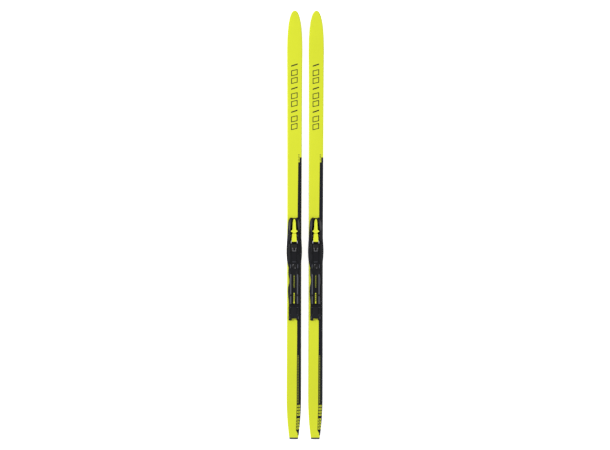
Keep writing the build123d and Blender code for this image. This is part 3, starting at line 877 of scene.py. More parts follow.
class SKI_OT_running_bases(bpy.types.Operator):
    """Finish each running base and set the grip scales under its arch"""

    bl_idname = "ski.running_bases"
    bl_label = "Running Bases"

    def execute(self, context):
        black = plastic("base_black", (0.016, 0.016, 0.018), 0.8, (0.3, 0.42), 0.1, 900.0)
        dress("base", black)
        scale = Skin()
        turns = [math.pi * (k - 4) / 10 for k in range(9)]
        arc = [(3.3 * math.sin(a), -2.6 * math.cos(a)) for a in turns]
        front = [(x, 1.9, 0.25) for x, _ in arc]
        rear = [(x, y, -0.32) for x, y in arc]
        lid = [(x, y, 0.25) for x, y in arc]
        rows = [scale.row(r) for r in (front, rear, lid)]
        scale.bridge(rows[0], rows[1])
        scale.bridge(rows[1], rows[2])
        scale.bridge(rows[2], rows[0])
        scale.face([rows[0][0], rows[1][0], rows[2][0]])
        scale.face([rows[0][-1], rows[2][-1], rows[1][-1]])
        sample = bpy.data.objects.new("one_scale", scale.mesh("one_scale", [black]))
        bpy.context.collection.objects.link(sample)
        mesh = grown(scale_tree(), {"Scale": sample, "Rows": sizes().scale_rows, "Material": black})
        bpy.data.objects.remove(sample)
        for v in mesh.vertices:  # lay the flat field of scales along the arch
            v.co.z += under(v.co.y / MM + WAIST) * MM
            v.co.y += WAIST * MM
        place("grip_scales", mesh, "ski", lift=0)
        fibre = brushed(
            "glass_laminate", (0.42, 0.40, 0.26), (1.0, 0.05, 1.0), (0.25, 0.4), 0.7, 300.0, 0.0
        )
        dress("bottom_laminate", fibre)
        dress("top_laminate", fibre)
        wood = brushed("core_grain", (0.50, 0.34, 0.18), (1.0, 0.03, 1.0), (0.5, 0.7), 0.6, 160.0, 0.0)
        dress("core", wood)
        return {"FINISHED"}


# ---- the binding -----------------------------------------------------------------------------------
ROOF = [
    (-142, 9.8), (-134, 10.0), (-121, 10.6), (-119.3, 11.6), (-112, 12.6), (-90, 13.1), (-66, 13.3),
    (-62.5, 12.6), (-60, 11.4), (-55, 12.0), (-50, 13.6), (-44, 14.5), (-30, 14.6), (-14, 14.0),
    (4, 11.9), (14, 9.9), (18, 9.0), (22, 8.0),
]
CROWN = [
    (0, 16.2), (12.6, 15.9), (14.2, 14.3), (16.5, 12.3), (19.5, 9.5), (22, 7.7), (24, 6.7), (27, 5.6),
]
HOUSING_EDGE = [
    (-141, 18.0), (-137, 18.6), (-132, 20.2), (-125.5, 21.9), (-119, 23.1), (-113, 23.9), (-101, 24.9),
    (-88, 25.5), (-73, 25.2), (-51.5, 24.0), (-33.8, 22.7), (-8, 21.4), (0, 20.9), (9, 19.9),
    (14, 19.0), (17.5, 18.0), (20, 16.4), (21.7, 14.2),
]
# half width of what is sunk in the middle, and the height of its floor
SUNK_EDGE = [
    (-142, 8.0), (-119.6, 8.0), (-119.5, 7.4), (-86.4, 7.4), (-86.3, 10.35), (-60.75, 10.35), (-60.7, 8.7),
    (-54.15, 8.7), (-54.1, 9.3), (-26.2, 9.3), (-24.0, 11.7), (-14.5, 11.7), (-10.0, 11.2), (0, 9.3),
    (10, 7.4), (18.2, 5.6), (19.6, 4.4), (20.4, 3.4), (21.0, 3.0), (22, 3.0),
]
SUNK_FLOOR = [
    (-142, 9.2), (-119.6, 9.4), (-119.5, 13.9), (-90, 14.3), (-86.4, 14.3), (-86.3, 8.6), (-60.75, 8.6),
    (-60.7, 6.0), (-54.15, 6.0), (-54.1, 3.1), (20.9, 3.1), (21.0, 7.4), (22, 7.4),
]
# half width of the ledge beside it, and how far the ledge is cut down
LEDGE_EDGE = [
    (-142, 13.6), (-119.6, 13.6), (-119.5, 8.0), (-86.4, 8.0), (-86.3, 11.2), (-60.75, 11.2), (-60.7, 12.3),
    (-43.9, 12.3), (-43.8, 12.6), (-28.0, 12.6), (-26.0, 12.4), (-14.5, 12.4), (-10, 11.9), (0, 10.0),
    (10, 8.1), (18.2, 6.3), (19.6, 5.2), (22, 4.6),
]
LEDGE_TOP = [
    (-142, 9.3), (-119.6, 9.7), (-119.5, 30), (-86.4, 30), (-86.3, 12.9), (-60.75, 12.6), (-60.7, 8.95),
    (-54.15, 8.95), (-54.1, 8.95), (-50.0, 8.95), (-49.9, 12.35), (-43.9, 12.35), (-43.8, 12.9),
    (-36.6, 13.1), (-36.5, 14.4), (-31.6, 14.4), (-31.5, 13.0), (-28, 12.8), (-26, 30), (22, 30),
]


def soft_lower(a, b, blend=1.2):
    """The lower of two heights, with a rounded change from one to the other."""
    gap = max(0.0, blend - abs(a - b)) / blend
    return min(a, b) - gap * gap * blend / 4


def housing_top(x, y):
    return soft_lower(table_at(ROOF, y), table_at(CROWN, x))


def bar_way(y):
    """True where the way for the boot's toe bar crosses the whole housing."""
    return BAR_WAY[0] < y < BAR_WAY[1]


def housing_section(y):
    """(x, z) round the right half of the housing at one place, from the middle out and back."""
    edge = table_at(HOUSING_EDGE, y)
    sunk, floor = table_at(SUNK_EDGE, y), table_at(SUNK_FLOOR, y)
    ledge, ledge_top = table_at(LEDGE_EDGE, y), table_at(LEDGE_TOP, y)

    def top(x):
        rise = housing_top(x, y)
        if bar_way(y):
            rise = min(rise, BAR_WAY_TOP)
        into = FRONT_ROUNDING - (HOUSING_FRONT - y)
        if into > 0:
            fall = math.sqrt(max(0.0, 1 - (into / FRONT_ROUNDING) ** 2))
            rise = FRONT_FOOT + (rise - FRONT_FOOT) * fall
        return rise

    shelf = min(ledge_top, top(ledge))
    floor = min(floor, top(0)) if y > 20.95 else floor
    points = [(0, floor), (sunk * 0.5, floor), (sunk, floor)]
    points += [(sunk + 0.02, shelf - 0.35), (sunk + 0.35, shelf)]
    points += [(ledge, shelf), (ledge + 0.05, max(shelf, top(ledge + 0.05) - 0.5))]
    start = ledge + 0.5
    across = [start + (edge - 0.9 - start) * k / 9 for k in range(10)]
    points += [(x, top(x)) for x in across]
    rim = top(edge)
    points += [(edge - 0.35, rim - 0.15), (edge - 0.08, rim - 0.6), (edge, rim - 1.2)]
    low, inner = (0.8, 14.8) if edge > 15.6 else (3.35, edge - 0.6)  # the front end has no skirt
    points += [(edge, min(low, rim - 1.4)), (edge - 0.4, low - 0.4), (inner, low - 0.4)]
    roof = min(7.6 if y < -63.7 else 2.95, floor - 0.15)
    return points + [(inner, roof), (0, roof)]


LOBE = [
    (0, 0), (5.2, 0), (6.0, 1.6), (7.2, 3.0), (9.0, 3.9), (10.5, 3.8), (12.5, 3.0), (14.2, 1.7),
    (16.5, 0.6), (18, 0),
]


def lobe(x, y):
    """How far the two front lobes carry a point of the section at y forwards."""
    return table_at(LOBE, x) * min(1.0, max(0.0, (y - 6.0) / 15.7)) ** 1.5


def housing_skin():
    """Toe housing as sections along the ski, with a darker black painted as shade in the lever's trough."""
    tables = (ROOF, HOUSING_EDGE, SUNK_EDGE, SUNK_FLOOR, LEDGE_EDGE, LEDGE_TOP)
    marks = {y for table in tables for y, _ in table}
    marks |= {HOUSING_REAR + 3.0 * k for k in range(52)}
    marks |= {HOUSING_FRONT - FRONT_ROUNDING * (k / 6) ** 2 for k in range(7)}
    for y in BAR_WAY:
        marks |= {y, y + 0.01}
    places = sorted(y for y in marks if HOUSING_REAR <= y <= HOUSING_FRONT)
    sections = []
    for y in places:
        right = housing_section(y)
        loop = [(x, y + lobe(x, y), z) for x, z in right]
        loop += [(-x, y + lobe(x, y), z) for x, z in reversed(right) if x > 0]
        sections.append(loop)
    skin = Skin()
    ring_count = len(sections[0])
    # the trough's floor and walls in front of the flexor take the darker black, as painted shade
    skin.loft(sections, lambda k: int(k < 4 or k > ring_count - 6))
    for k, y in enumerate(places[:-1]):
        if y < -58:  # behind the trough
            skin.slots[k * ring_count : (k + 1) * ring_count] = [0] * ring_count
    del skin.faces[-2:], skin.slots[-2:]  # the front end is bent, so both are filled as triangles
    for end, start in ((sections[0], 0), (sections[-1], len(skin.points) - ring_count)):
        for corners in tessellate_polygon([[Vector((x, z, 0)) for x, _, z in end]]):
            skin.face([start + k for k in corners])
    return skin


def lay_fender_highlight(skin, sign):
    """A thin lighter layer on one fender, painted as the highlight where the fender's slope catches the
    light; pointed at its front and rear.
    """
    rows = []
    count = 18
    for k in range(count + 1):
        t = k / count
        y = -17.0 + 34.0 * t
        middle = 15.9 - 2.6 * t * t
        half = 3.0 * math.sin(math.pi * (0.06 + 0.88 * t)) ** 0.7
        tops = []
        for i in range(9):
            x = middle + half * (i / 4 - 1)
            tops.append((sign * x, y + lobe(x, y), housing_top(x, y) + 0.18))
        rows.append(tops + [(x, y, z - 0.6) for x, y, z in reversed(tops)])
    skin.loft(rows)


class BINDING_OT_toe_housings(bpy.types.Operator):
    """Build the moulded body of each toe unit"""

    bl_idname = "binding.toe_housings"
    bl_label = "Toe Housings"

    def execute(self, context):
        tools = [cutter(ring(0, LOCK_Y, 8.3, 8.3, 48), 9.0, 30)]
        for x in (-SCREW_X, SCREW_X):
            tools.append(cutter(ring(x, FRONT_SCREW_Y, 2.7, 2.7, 24), 9.0, 30))
        mesh = housing_skin().mesh("toe_housing", [moulded_black(), painted_shade_black()], 28, cutters=tools)
        extra = Skin()
        for sign in (-1, 1):  # ribs beside the lock and beside the lever
            extra.loft(rib(sign * 11.8, 1.0, (-140.4, -127.5), (9.0, 11.4)))
            extra.loft(rib(sign * 10.9, 0.9, (-36.4, -31.9), (12.6, 14.9)))
        extra.loft(rib(0, 6.0, (-120.2, -118.6), (9.5, 14.2)))
        # the ribs are in the lighter grey, painted highlights on the housing's rails and edges
        ribs = extra.mesh("ribs", [rib_highlight_grey()], 30, 0.35)
        # lighter panels on both fenders: painted highlights
        panels = Skin()
        for sign in (-1, 1):
            lay_fender_highlight(panels, sign)
        fender_highlight_finish = plastic("fender_highlight_grey", tuple(colours().fender), 0.8, (0.3, 0.42), 0.2, 2600.0)
        place("fender_panels", panels.mesh("fender_panels", [fender_highlight_finish], 40), "carriage")
        place("toe_housing", mesh, "carriage", ["front_housing"])
        place("housing_ribs", ribs, "carriage")
        return {"FINISHED"}


# a lighter grey that paints highlights on ridge and rib tops and on edges
def rib_highlight_grey():
    return plastic("rib_highlight_grey", tuple(colours().ridge), 0.85, (0.3, 0.42), 0.15, 2200.0)


def rib(x, half, span, z):
    """Sections of a short bar along the ski."""
    (y0, y1), (z0, z1) = span, z
    run = min(0.6, (y1 - y0) / 3)
    return [
        [(x - half, y, z0), (x + half, y, z0), (x + half, y, top), (x - half, y, top)]
        for y, top in ((y0, z1 - run), (y0 + run, z1), (y1 - run, z1), (y1, z1 - run))
    ]


def grooved_section(y, half, top, bottom, groove=0.75):
    """A bar with bright rims along its edges and a shallow groove between them."""
    k, thick = min(1.0, half / 3.6), top - bottom
    edge, sink = min(0.9, 0.45 * thick), min(groove, 0.4 * thick)
    right = [
        (half - 0.7 * k, bottom),
        (half, bottom + min(0.6, 0.3 * thick)),
        (half, top - edge),
        (half - 0.3 * k, top - 0.28 * edge),
        (half - 0.9 * k, top),
        (half - 1.5 * k, top - 0.05 * edge),
        (half - 2.3 * k, top - 0.8 * sink),
        (half * 0.25, top - sink),
    ]
    return section(y, right)


class BINDING_OT_levers(bpy.types.Operator):
    """Build the yellow press lever of each binding"""

    bl_idname = "binding.levers"
    bl_label = "Press Levers"

    def execute(self, context):
        half = [
            (-26.7, 4.8), (-26.3, 5.1), (-24.4, 5.2), (-23.2, 5.8), (-22.3, 8.4), (-21.4, 9.8),
            (-20.5, 10.3), (-18.4, 10.3), (-17.4, 9.7), (-16.5, 8.2), (-15.7, 7.0), (-14.4, 6.2),
            (-12, 5.75), (-6, 5.4), (1, 5.1), (8, 4.8), (14, 3.9), (17.4, 3.1), (18.9, 2.6),
            (19.8, 1.9), (20.25, 1.3), (20.4, 0.7),
        ]
        top = [(-26.7, 17.3), (-26.2, 17.8), (-22, 17.85), (-19.5, 17.85), (-8, 16.65), (14, 15.9),
               (18, 15.6), (19.6, 15.2), (20.4, 14.5)]
        bottom = [(-26.7, 16.75), (-22.35, 16.75), (-22.3, 10.0), (-21.6, 8.4), (-19.5, 7.5),
                  (-17.4, 8.4), (-16.4, 10.4), (-15, 11.7), (0, 13.5), (19, 13.6), (20.4, 13.9)]
        places = sorted({y for y, _ in half + top + bottom} | {-12 + 2.5 * k for k in range(12)})
        tables = (half, top, bottom)
        skin = Skin()
        skin.loft([grooved_section(y, *(table_at(table, y) for table in tables)) for y in places])
        skin.side_prism([(7.5, 14.2), (7.5, 8.6), (8.8, 7.62), (12.2, 7.62), (12.6, 14.2)], -3.8, 3.8)
        grips = Skin()
        for k in range(4):  # grip lines near the tip
            y = 9.0 + 2.1 * k
            grips.loft(rib(0, 1.9 - 0.12 * k, (y, y + 0.9), (14.6, table_at(top, y) - 0.2)))
        mesh = skin.mesh("press_lever", [accent_yellow()], 34)
        place("press_lever", mesh, "lever", ["release_lever"])
        place("lever_grips", grips.mesh("lever_grips", [accent_yellow()], 34), "lever")
        return {"FINISHED"}


class BINDING_OT_jaws(bpy.types.Operator):
    """Build the yellow jaw slider of each binding and finish its steel claw and seat"""

    bl_idname = "binding.jaws"
    bl_label = "Jaw Sliders"

    def execute(self, context):
        half = [(-53.8, 7.9), (-53.4, 8.3), (-50.5, 8.3), (-47.5, 7.7), (-43, 7.45), (-30.6, 7.2),
                (-27.9, 6.7), (-27.4, 6.1)]
        top = [(-53.8, 16.3), (-53.3, 16.75), (-51.8, 16.85), (-48.2, 16.85), (-47.4, 16.62),
               (-46.6, 16.85), (-28.2, 16.6), (-27.4, 16.1)]
        bottom, groove = 13.8, 0.34
        places = sorted({y for y, _ in half + top} | {-46 + 4.0 * k for k in range(5)})
        skin = Skin()
        for_lid = [(y, table_at(half, y), table_at(top, y)) for y in places]
        skin.loft([grooved_section(y, width, high, bottom, groove) for y, width, high in for_lid])
        body = Skin()
        body.prism(box_outline(-8.3, 8.3, -53.8, -40.0), 3.3, 14.6)
        # the arms and the pieces below them take the darker black, as painted shade under the housing
        for sign in (-1, 1):
            arm = sign * 6.45
            body.prism(box_outline(arm - 1.75, arm + 1.75, -40.5, 12.0), 3.3, 7.1, 1)
        body.side_prism([(7.8, 3.3), (12.68, 7.85), (13.95, 7.85), (13.95, 3.3)], -4.0, 4.0, 1)
        body.prism(box_outline(-8.2, 8.2, 10.4, 13.95), 3.3, 5.0, 1)
        frame_mesh = body.mesh("jaw_body", [accent_yellow(), painted_shade_black()], 34, 0.25, 2)
        lid = skin.mesh("jaw_lid", [accent_yellow()], 34)
        place("jaw_lid", lid, "jaw", ["jaw_slider"])
        place("jaw_body", frame_mesh, "jaw")
        dress("jaw_claw", bright_steel())
        dress("jaw_spring", bright_steel())
        dress("lever_pin", bright_steel())
        # near-black steel on the toe seat, so the seat renders as dark as the toe slot
        dark = brushed("near_black_seat_steel", (0.02, 0.02, 0.021), (0.06, 1.0, 1.0), (0.35, 0.5), 0.7)
        dress("toe_seat", dark)
        return {"FINISHED"}


class BINDING_OT_flexors(bpy.types.Operator):
    """Build the rubber flexor of each binding and its clip"""

    bl_idname = "binding.flexors"
    bl_label = "Flexors"

    def execute(self, context):
        skin = Skin()
        side = [(-85.9, 13.0), (-85.2, 14.4), (-83.2, 15.0), (-75, 15.35), (-64.2, 15.6),
                (-62.4, 15.0), (-61.4, 13.8), (-61.2, 12.4)]
        sections = []
        for y, top in side:
            half = 9.1 if (y, top) in (side[0], side[-1]) else 10.0
            right = [(half, 8.65), (half, top - 1.8), (half - 0.4, top - 0.8),
                     (half - 1.3, top - 0.15), (half - 2.8, top), (3.0, top)]
            sections.append(section(y, right))
        skin.loft(sections)
        ribs = Skin()
        for k in range(3):  # cross ribs in front of the clip
            ribs.loft(rib(0, 6.5, (-71.4 + 2.7 * k, -70.0 + 2.7 * k), (14.9, 15.75)))
        rubber = plastic("flexor_rubber", (0.014, 0.014, 0.013), 0.7, (0.55, 0.7), 0.35, 1400.0)
        tools = [cutter(box_outline(-2.4, 2.4, -81.4, -76.4), 9.6, 20)]
        mesh = skin.mesh("flexor_block", [rubber], 32, cutters=tools)
        place("flexor_block", mesh, "carriage", ["flexor"])
        place("flexor_ribs", ribs.mesh("flexor_ribs", [rubber], 32, 0.2), "carriage")
        clip = Skin()
        clip.prism([(-5.6, -85.2), (5.6, -85.2), (6.2, -82.9), (-6.2, -82.9)], 14.4, 15.9)
        leg = [(3.0, -83.0), (6.1, -83.0), (4.6, -79.6), (7.6, -74.6), (6.6, -73.2), (5.3, -73.2),
               (2.9, -77.2)]
        for sign in (-1, 1):
            clip.prism([(sign * x, y) for x, y in leg], 14.4, 15.75)
        grey = plastic("clip_grey", (0.13, 0.13, 0.14), 0.8, (0.35, 0.5), 0.2)
        place("clip_frame", clip.mesh("clip_frame", [grey], 32, 0.3), "carriage", ["flexor_clip"])
        return {"FINISHED"}


class BINDING_OT_tracks(bpy.types.Operator):
    """Build the ridged boot track of each binding and its coloured inlay"""

    bl_idname = "binding.tracks"
    bl_label = "Boot Tracks"

    def execute(self, context):
        edge = [(-257, 17.2), (-249, 17.5), (-241, 18.2), (-234, 19.1), (-227, 19.8), (-219, 20.1),
                (-208, 20.2), (-203, 19.9), (-196, 18.3), (-191, 16.9), (-186, 16.2), (-178, 16.1),
                (-172, 16.8), (-166, 18.0), (-160, 18.7), (-150, 19.0), (-141.2, 18.5)]
        ridge = [(-257, 10.6), (-256.2, 12.4), (-254.6, 13.0), (-231.3, 13.0), (-231.2, 10.3),
                 (-225.8, 10.3), (-225.7, 13.0), (-168, 13.0), (-160, 11.4), (-151, 9.2),
                 (-149.5, 9.0), (-141.2, 9.0)]
        lift = [(-257, 7.0), (-256.3, 7.8), (-141.2, 7.8)]
        places = sorted({y for y, _ in edge + ridge + lift} | {-255 + 6.0 * k for k in range(18)})
        sections = []
        for y in places:
            w, top, rim = table_at(edge, y), table_at(ridge, y), table_at(lift, y)
            h = max(0.0, top - 9.0) / 4.0
            right = [
                (2.0, 9.0), (6.9, 9.0), (7.25, 9.0 + 0.6 * h), (8.0, 9.0 + 3.3 * h),
                (9.2, 9.0 + 3.9 * h), (11.4, 9.0 + 4.0 * h), (13.0, 9.0 + 3.8 * h),
                (14.1, 9.0 + 3.0 * h), (14.7, 9.0 - 0.4 * h), (15.2, rim + 0.1), (w - 1.4, rim - 0.1),
                (w - 0.4, rim - 0.6), (w, rim - 1.5), (w, 0.8), (w - 0.4, 0.4), (14.8, 0.4),
                (14.8, 7.62),
            ]
            right = [(x, min(z, 9.0 + 4 * h)) for x, z in right]
            sections.append(section(y, right))
        skin = Skin()
        rows = [skin.row(s) for s in sections]
        for y, a, b in zip(places, rows, rows[1:]):
            plain = y > -163 or -231.25 <= y < -225.75  # the front slope and the screws' dips
            # the ridge tops take the lighter grey as a painted highlight
            grey = set() if plain else {4, 5, 27, 28}
            skin.bridge(a, b, lambda k, grey=grey: int(k in grey), closed=True)
        skin.face(rows[0][::-1])
        skin.face(rows[-1])
        mesh = skin.mesh("boot_track", [moulded_black(), rib_highlight_grey()], 30)
        place("boot_track", mesh, "carriage", ["rear_track"])
        inlay = Skin()
        for rear, front, slot in ((-202.6, -162.7, 0), (-255.0, -220.6, 1)):
            inlay.prism(box_outline(-1.6, 1.6, rear, front), 9.02, 9.75, slot)
        olive = plastic("inlay_olive", tuple(colours().inlay), 0.85, (0.35, 0.45), 0.08)
        inlay.prism(box_outline(-1.8, 1.8, -254.8, -250.2), 9.1, 9.85, 1)
        strip = inlay.mesh("inlay_strip", [olive, accent_yellow()], 30, 0.2)
        place("inlay_strip", strip, "carriage", ["track_inlay"])
        marks = Skin()
        for rear, count in ((-200.6, 11), (-247.6, 7)):
            for k in range(count):
                y = rear + 3.5 * k
                marks.prism(box_outline(-1.2, 1.2, y, y + (1.5 if k % 2 else 2.3)), 9.6, 9.8)
        place("inlay_marks", marks.mesh("inlay_marks", [ink_black()], 30), "carriage")
        return {"FINISHED"}


class BINDING_OT_heel_pads(bpy.types.Operator):
    """Build the heel pad of each binding and finish the plate and slide shoe"""

    bl_idname = "binding.heel_pads"
    bl_label = "Heel Pads"

    def execute(self, context):
        half, front, notch, rear = 16.2, -266.0, -304.0, -308.0
        right = [
            (7.6, notch), (7.6, rear), (half, rear), (half, front - 3.0), (half - 1.0, front - 1.0),
            (half - 3.0, front),
        ]
        pad = Skin()
        pad.prism(mirrored(right), 2.65, 8.65)
        tools = [cutter(box_outline(x - 2.2, x + 2.2, -290.0, -271.0), 6.45, 20) for x in (-10.4, 10.4)]
        mesh = pad.mesh("heel_block", [plate_black()], 32, 0.7, 3, tools)
        place("heel_block", mesh, "ski", ["heel_pad"])
        # lighter grey marks on the pad's pocket edges and rear prongs: painted highlights
        marks = Skin()
        for sign in (-1, 1):
            marks.loft(rib(sign * 11.6, 1.7, (-268.6, -267.2), (8.0, 9.0)))
            marks.loft(rib(sign * 11.0, 1.4, (-292.6, -291.4), (8.0, 8.95)))
            marks.loft(rib(sign * 14.2, 0.7, (-305.5, -297.0), (8.0, 8.95)))
        place("heel_marks", marks.mesh("heel_marks", [rib_highlight_grey()], 30), "ski")
        right = [(17.2, -266.0), (17.2, -241.0), (16.6, -239.0), (15.0, -238.0)]
        sheet = Skin()
        sheet.prism(mirrored(right), 0.02, 0.33)
        edge_mesh = sheet.mesh("plate_sheet", [plate_black()], 30, 0.1, 2)
        place("plate_sheet", edge_mesh, "ski")
        dress("mounting_plate", plate_black())
        dress("slide_shoe", plate_black())
        return {"FINISHED"}


def screw_tree():
    """Geometry nodes: a pair of like screws, one each side of the middle."""
    tree, use = geometry_tree(
        "screw_pair",
        (
            ("Screw", "NodeSocketObject", None),
            ("Spacing", "NodeSocketFloat", 0.025),
            ("Turn", "NodeSocketFloat", 0.6),
            ("Material", "NodeSocketMaterial", None),
        ),
    )
    pair = tree.nodes.new("GeometryNodeMeshLine")
    pair.mode = "OFFSET"
    pair.inputs["Count"].default_value = 2
    start = vector(tree, maths(tree, "MULTIPLY", use["Spacing"], -0.5))
    tree.links.new(start, pair.inputs["Start Location"])
    tree.links.new(vector(tree, use["Spacing"]), pair.inputs["Offset"])
    index = tree.nodes.new("GeometryNodeInputIndex").outputs[0]
    turn = vector(tree, z=maths(tree, "MULTIPLY", index, use["Turn"]))
    stamp(tree, pair.outputs[0], use["Screw"], use["Material"], turn)
    return tree


class BINDING_OT_screws(bpy.types.Operator):
    """Set the two pairs of screws of each binding"""

    bl_idname = "binding.screws"
    bl_label = "Screws"

    def execute(self, context):
        profile = [(1.2, -5.4), (1.2, 0.0), (2.5, 0.02), (2.5, 0.95), (2.3, 1.35), (1.8, 1.6)]
        cross = ((1.5, 0.42), (0.42, 1.5))  # half lengths of the driver slots
        tools = [cutter(box_outline(-a, a, -b, b), 0.8, 4) for a, b in cross]
        dark = brushed("screw_steel", (0.05, 0.05, 0.055), (1.0, 1.0, 1.0), (0.3, 0.45), 0.75, 900.0)
        mesh = turned(profile, 28).mesh("one_screw", [dark], 30, cutters=tools)
        sample = bpy.data.objects.new("one_screw", mesh)
        bpy.context.collection.objects.link(sample)
        tree = screw_tree()
        for name, y, z in (("front", FRONT_SCREW_Y, 9.02), ("rear", REAR_SCREW_Y, 10.22)):
            values = {"Screw": sample, "Spacing": 2 * SCREW_X * MM, "Material": dark}
            mesh = grown(tree, values)
            mesh.transform(Matrix.Translation((0, y * MM, z * MM)))
            place(f"{name}_screw_pair", mesh, "carriage", [f"{name}_screws"])
        bpy.data.objects.remove(sample)
        return {"FINISHED"}


class BINDING_OT_locks(bpy.types.Operator):
    """Build the slotted position lock of each binding"""

    bl_idname = "binding.locks"
    bl_label = "Position Locks"

    def execute(self, context):
        profile = [(3.0, -1.2), (3.0, 0.02), (7.6, 0.05), (8.0, 0.4), (8.0, 1.5), (7.6, 2.05),
                   (6.9, 2.35), (6.2, 2.4)]
        tools = [cutter(box_outline(-1.5, 1.5, -6.6, 6.6), 0.5, 5)]
        black = plastic("lock_black", (0.018, 0.018, 0.02), 0.8, (0.26, 0.38), 0.12)
        mesh = turned(profile, 56).mesh("lock_head", [black], 30, 0.15, 2, tools)
        seat = Matrix.Translation((0, LOCK_Y * MM, LOCK_TOP * MM))
        mesh.transform(seat @ Matrix.Rotation(math.radians(-32), 4, "Z"))
        place("lock_head", mesh, "lock", ["position_lock"])
        nubs = Skin()
        for sign in (-1, 1):
            nubs.prism(ring(sign * 3.3, -sign * 5.6, 1.5, 1.9, 18), 1.2, 2.9)
        grey = plastic("nub_grey", (0.16, 0.16, 0.17), 0.8, (0.3, 0.4))
        nub_mesh = nubs.mesh("lock_nubs", [grey], 30, 0.3, 2)
        nub_mesh.transform(seat)
        place("lock_nubs", nub_mesh, "lock")
        return {"FINISHED"}


# ---- stage -----------------------------------------------------------------------------------------
class SKI_OT_stage(bpy.types.Operator):
    """Lay the floor, hang the lights and set the camera"""

    bl_idname = "ski.stage"
    bl_label = "Stage"

    def execute(self, context):
        scene = context.scene
        look = scene.ski_stage
        floor_mesh = bpy.data.meshes.new("floor")
        reach = 30.0
        corners = [(-reach, -reach, 0), (reach, -reach, 0), (reach, reach, 0), (-reach, reach, 0)]
        floor_mesh.from_pydata(corners, [], [(0, 1, 2, 3)])
        pale = plastic(
            "pale_floor", (0.86, 0.86, 0.86), 0.985, (0.6, 0.7), 0.0,
            Emission_Color=(1, 1, 1, 1), Emission_Strength=look.glow,
        )
        floor_mesh.materials.append(pale)
        floor = bpy.data.objects.new("floor", floor_mesh)
        floor.location.z = -0.0002
        context.collection.objects.link(floor)

        world = bpy.data.worlds.new("studio")
        world.use_nodes = True
        world.node_tree.nodes["Background"].inputs[0].default_value = (1, 1, 1, 1)
        world.node_tree.nodes["Background"].inputs[1].default_value = look.fill
        scene.world = world
        for name, spot, size, power in (
            ("key", (-2.2, 0.9, 2.4), 1.2, look.key),
            ("side", (2.4, -1.2, 1.6), 1.6, look.side),
        ):
            data = bpy.data.lights.new(name, "AREA")
            data.shape, data.size, data.energy = "DISK", size, power
            lamp = bpy.data.objects.new(name, data)
            lamp.location = spot
            aim = Vector((0, 0, 0)) - lamp.location
            lamp.rotation_euler = aim.to_track_quat("-Z", "Y").to_euler()
            context.collection.objects.link(lamp)

        width = 1.9926  # width of the floor in view
        distance = 12.0
        data = bpy.data.cameras.new("camera")
        data.sensor_width = 36.0
        data.lens = data.sensor_width * distance / width
        data.clip_end = 100.0
        camera = bpy.data.objects.new("camera", data)
        target = Vector((-0.0002, 0.001, 0.03))
        lean = look.lean
        camera.location = target + distance * Vector((-math.sin(lean), 0, math.cos(lean)))
        tilt = Matrix.Rotation(-lean, 4, "Y")
        roll = Matrix.Rotation(look.roll, 4, "Z")
        camera.rotation_euler = (tilt @ roll).to_euler()
        context.collection.objects.link(camera)
        scene.camera = camera
        scene.view_settings.view_transform = "Standard"
        scene.view_settings.look = "None"
        return {"FINISHED"}


# ---- settings, panel and start -----------------------------------------------------------------------
def colour_property(name, value):
    return FloatVectorProperty(
        name=name, description=f"{name} of the skis", subtype="COLOR", size=3,
        default=value, min=0.0, max=1.0,
    )


class SkiColours(bpy.types.PropertyGroup):
    skin: colour_property("Cap lacquer", (0.715, 0.775, 0.030))
    stripe: colour_property("Side stripe", (0.005, 0.0065, 0.0105))
    print_black: colour_property("Black print", (0.006, 0.006, 0.016))
    print_olive: colour_property("Olive print", (0.26, 0.28, 0.03))
    accent: colour_property("Lever and jaw", (0.79, 0.85, 0.040))
    housing: colour_property("Toe housing", (0.0048, 0.0054, 0.0080))
    # painted highlight on the fenders
    fender: colour_property("Fender highlights", (0.060, 0.060, 0.064))
    inlay: colour_property("Track inlay", (0.38, 0.42, 0.03))
    # painted highlight grey on ridge tops, ribs and the pad's marks
    ridge: colour_property("Ridge highlights", (0.098, 0.103, 0.126))
    plate: colour_property("Plate and pad", (0.0075, 0.0083, 0.0118))


class SkiSizes(bpy.types.PropertyGroup):
    shoulder_radius: FloatProperty(
        name="Shoulder radius", description="Rounding of the cap's long edges",
        default=3.4 * MM, min=0.5 * MM, max=3.6 * MM, unit="LENGTH",
    )
    bar_count: IntProperty(
        name="Printed bars", description="Number of large bars on each front half", default=9, min=1
    )
    scale_rows: IntProperty(
        name="Grip rows", description="Rows of grip scales under the arch", default=70, min=1
    )


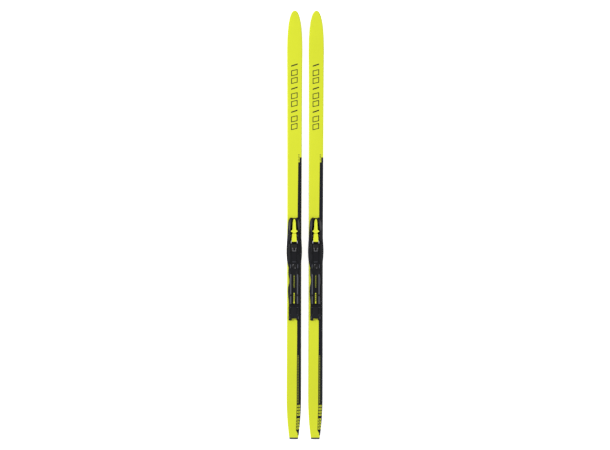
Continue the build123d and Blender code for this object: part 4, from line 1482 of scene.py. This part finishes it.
class SkiStage(bpy.types.PropertyGroup):
    key: FloatProperty(
        name="Key light", description="Power of the left light", default=62.0, unit="POWER"
    )
    side: FloatProperty(
        name="Side light", description="Power of the right light", default=14.0, unit="POWER"
    )
    fill: FloatProperty(name="Fill", description="Strength of the surrounding light", default=0.58)
    glow: FloatProperty(name="Floor glow", description="Light given off by the floor", default=0.8)
    lean: FloatProperty(
        name="Lean", description="How far the camera stands to the left", default=0.004,
        subtype="ANGLE",
    )
    roll: FloatProperty(
        name="Roll", description="Turn of the camera about its view", default=0.0026,
        subtype="ANGLE",
    )


OPERATORS = (
    SKI_OT_cap_shells,
    SKI_OT_prints,
    SKI_OT_tail_guards,
    SKI_OT_running_bases,
    BINDING_OT_toe_housings,
    BINDING_OT_levers,
    BINDING_OT_jaws,
    BINDING_OT_flexors,
    BINDING_OT_tracks,
    BINDING_OT_heel_pads,
    BINDING_OT_screws,
    BINDING_OT_locks,
    SKI_OT_stage,
)


class SKI_PT_panel(bpy.types.Panel):
    bl_idname = "SKI_PT_panel"
    bl_label = "Skis"
    bl_space_type = "VIEW_3D"
    bl_region_type = "UI"
    bl_category = "Skis"

    def draw(self, context):
        for operator in OPERATORS:
            self.layout.operator(operator.bl_idname)
        for settings in ("ski_sizes", "ski_colours", "ski_stage"):
            group_of = getattr(context.scene, settings)
            for name in group_of.bl_rna.properties.keys():
                if name not in ("rna_type", "name"):
                    self.layout.prop(group_of, name)


CLASSES = (SkiColours, SkiSizes, SkiStage, *OPERATORS, SKI_PT_panel)


def register():
    for item in CLASSES:
        bpy.utils.register_class(item)
    bpy.types.Scene.ski_colours = PointerProperty(type=SkiColours)
    bpy.types.Scene.ski_sizes = PointerProperty(type=SkiSizes)
    bpy.types.Scene.ski_stage = PointerProperty(type=SkiStage)


def unregister():
    for name in ("ski_colours", "ski_sizes", "ski_stage"):
        delattr(bpy.types.Scene, name)
    for item in reversed(CLASSES):
        bpy.utils.unregister_class(item)


def main():
    register()
    for operator in OPERATORS:
        family, name = operator.bl_idname.split(".")
        getattr(getattr(bpy.ops, family), name)()


if __name__ == "__main__":
    main()
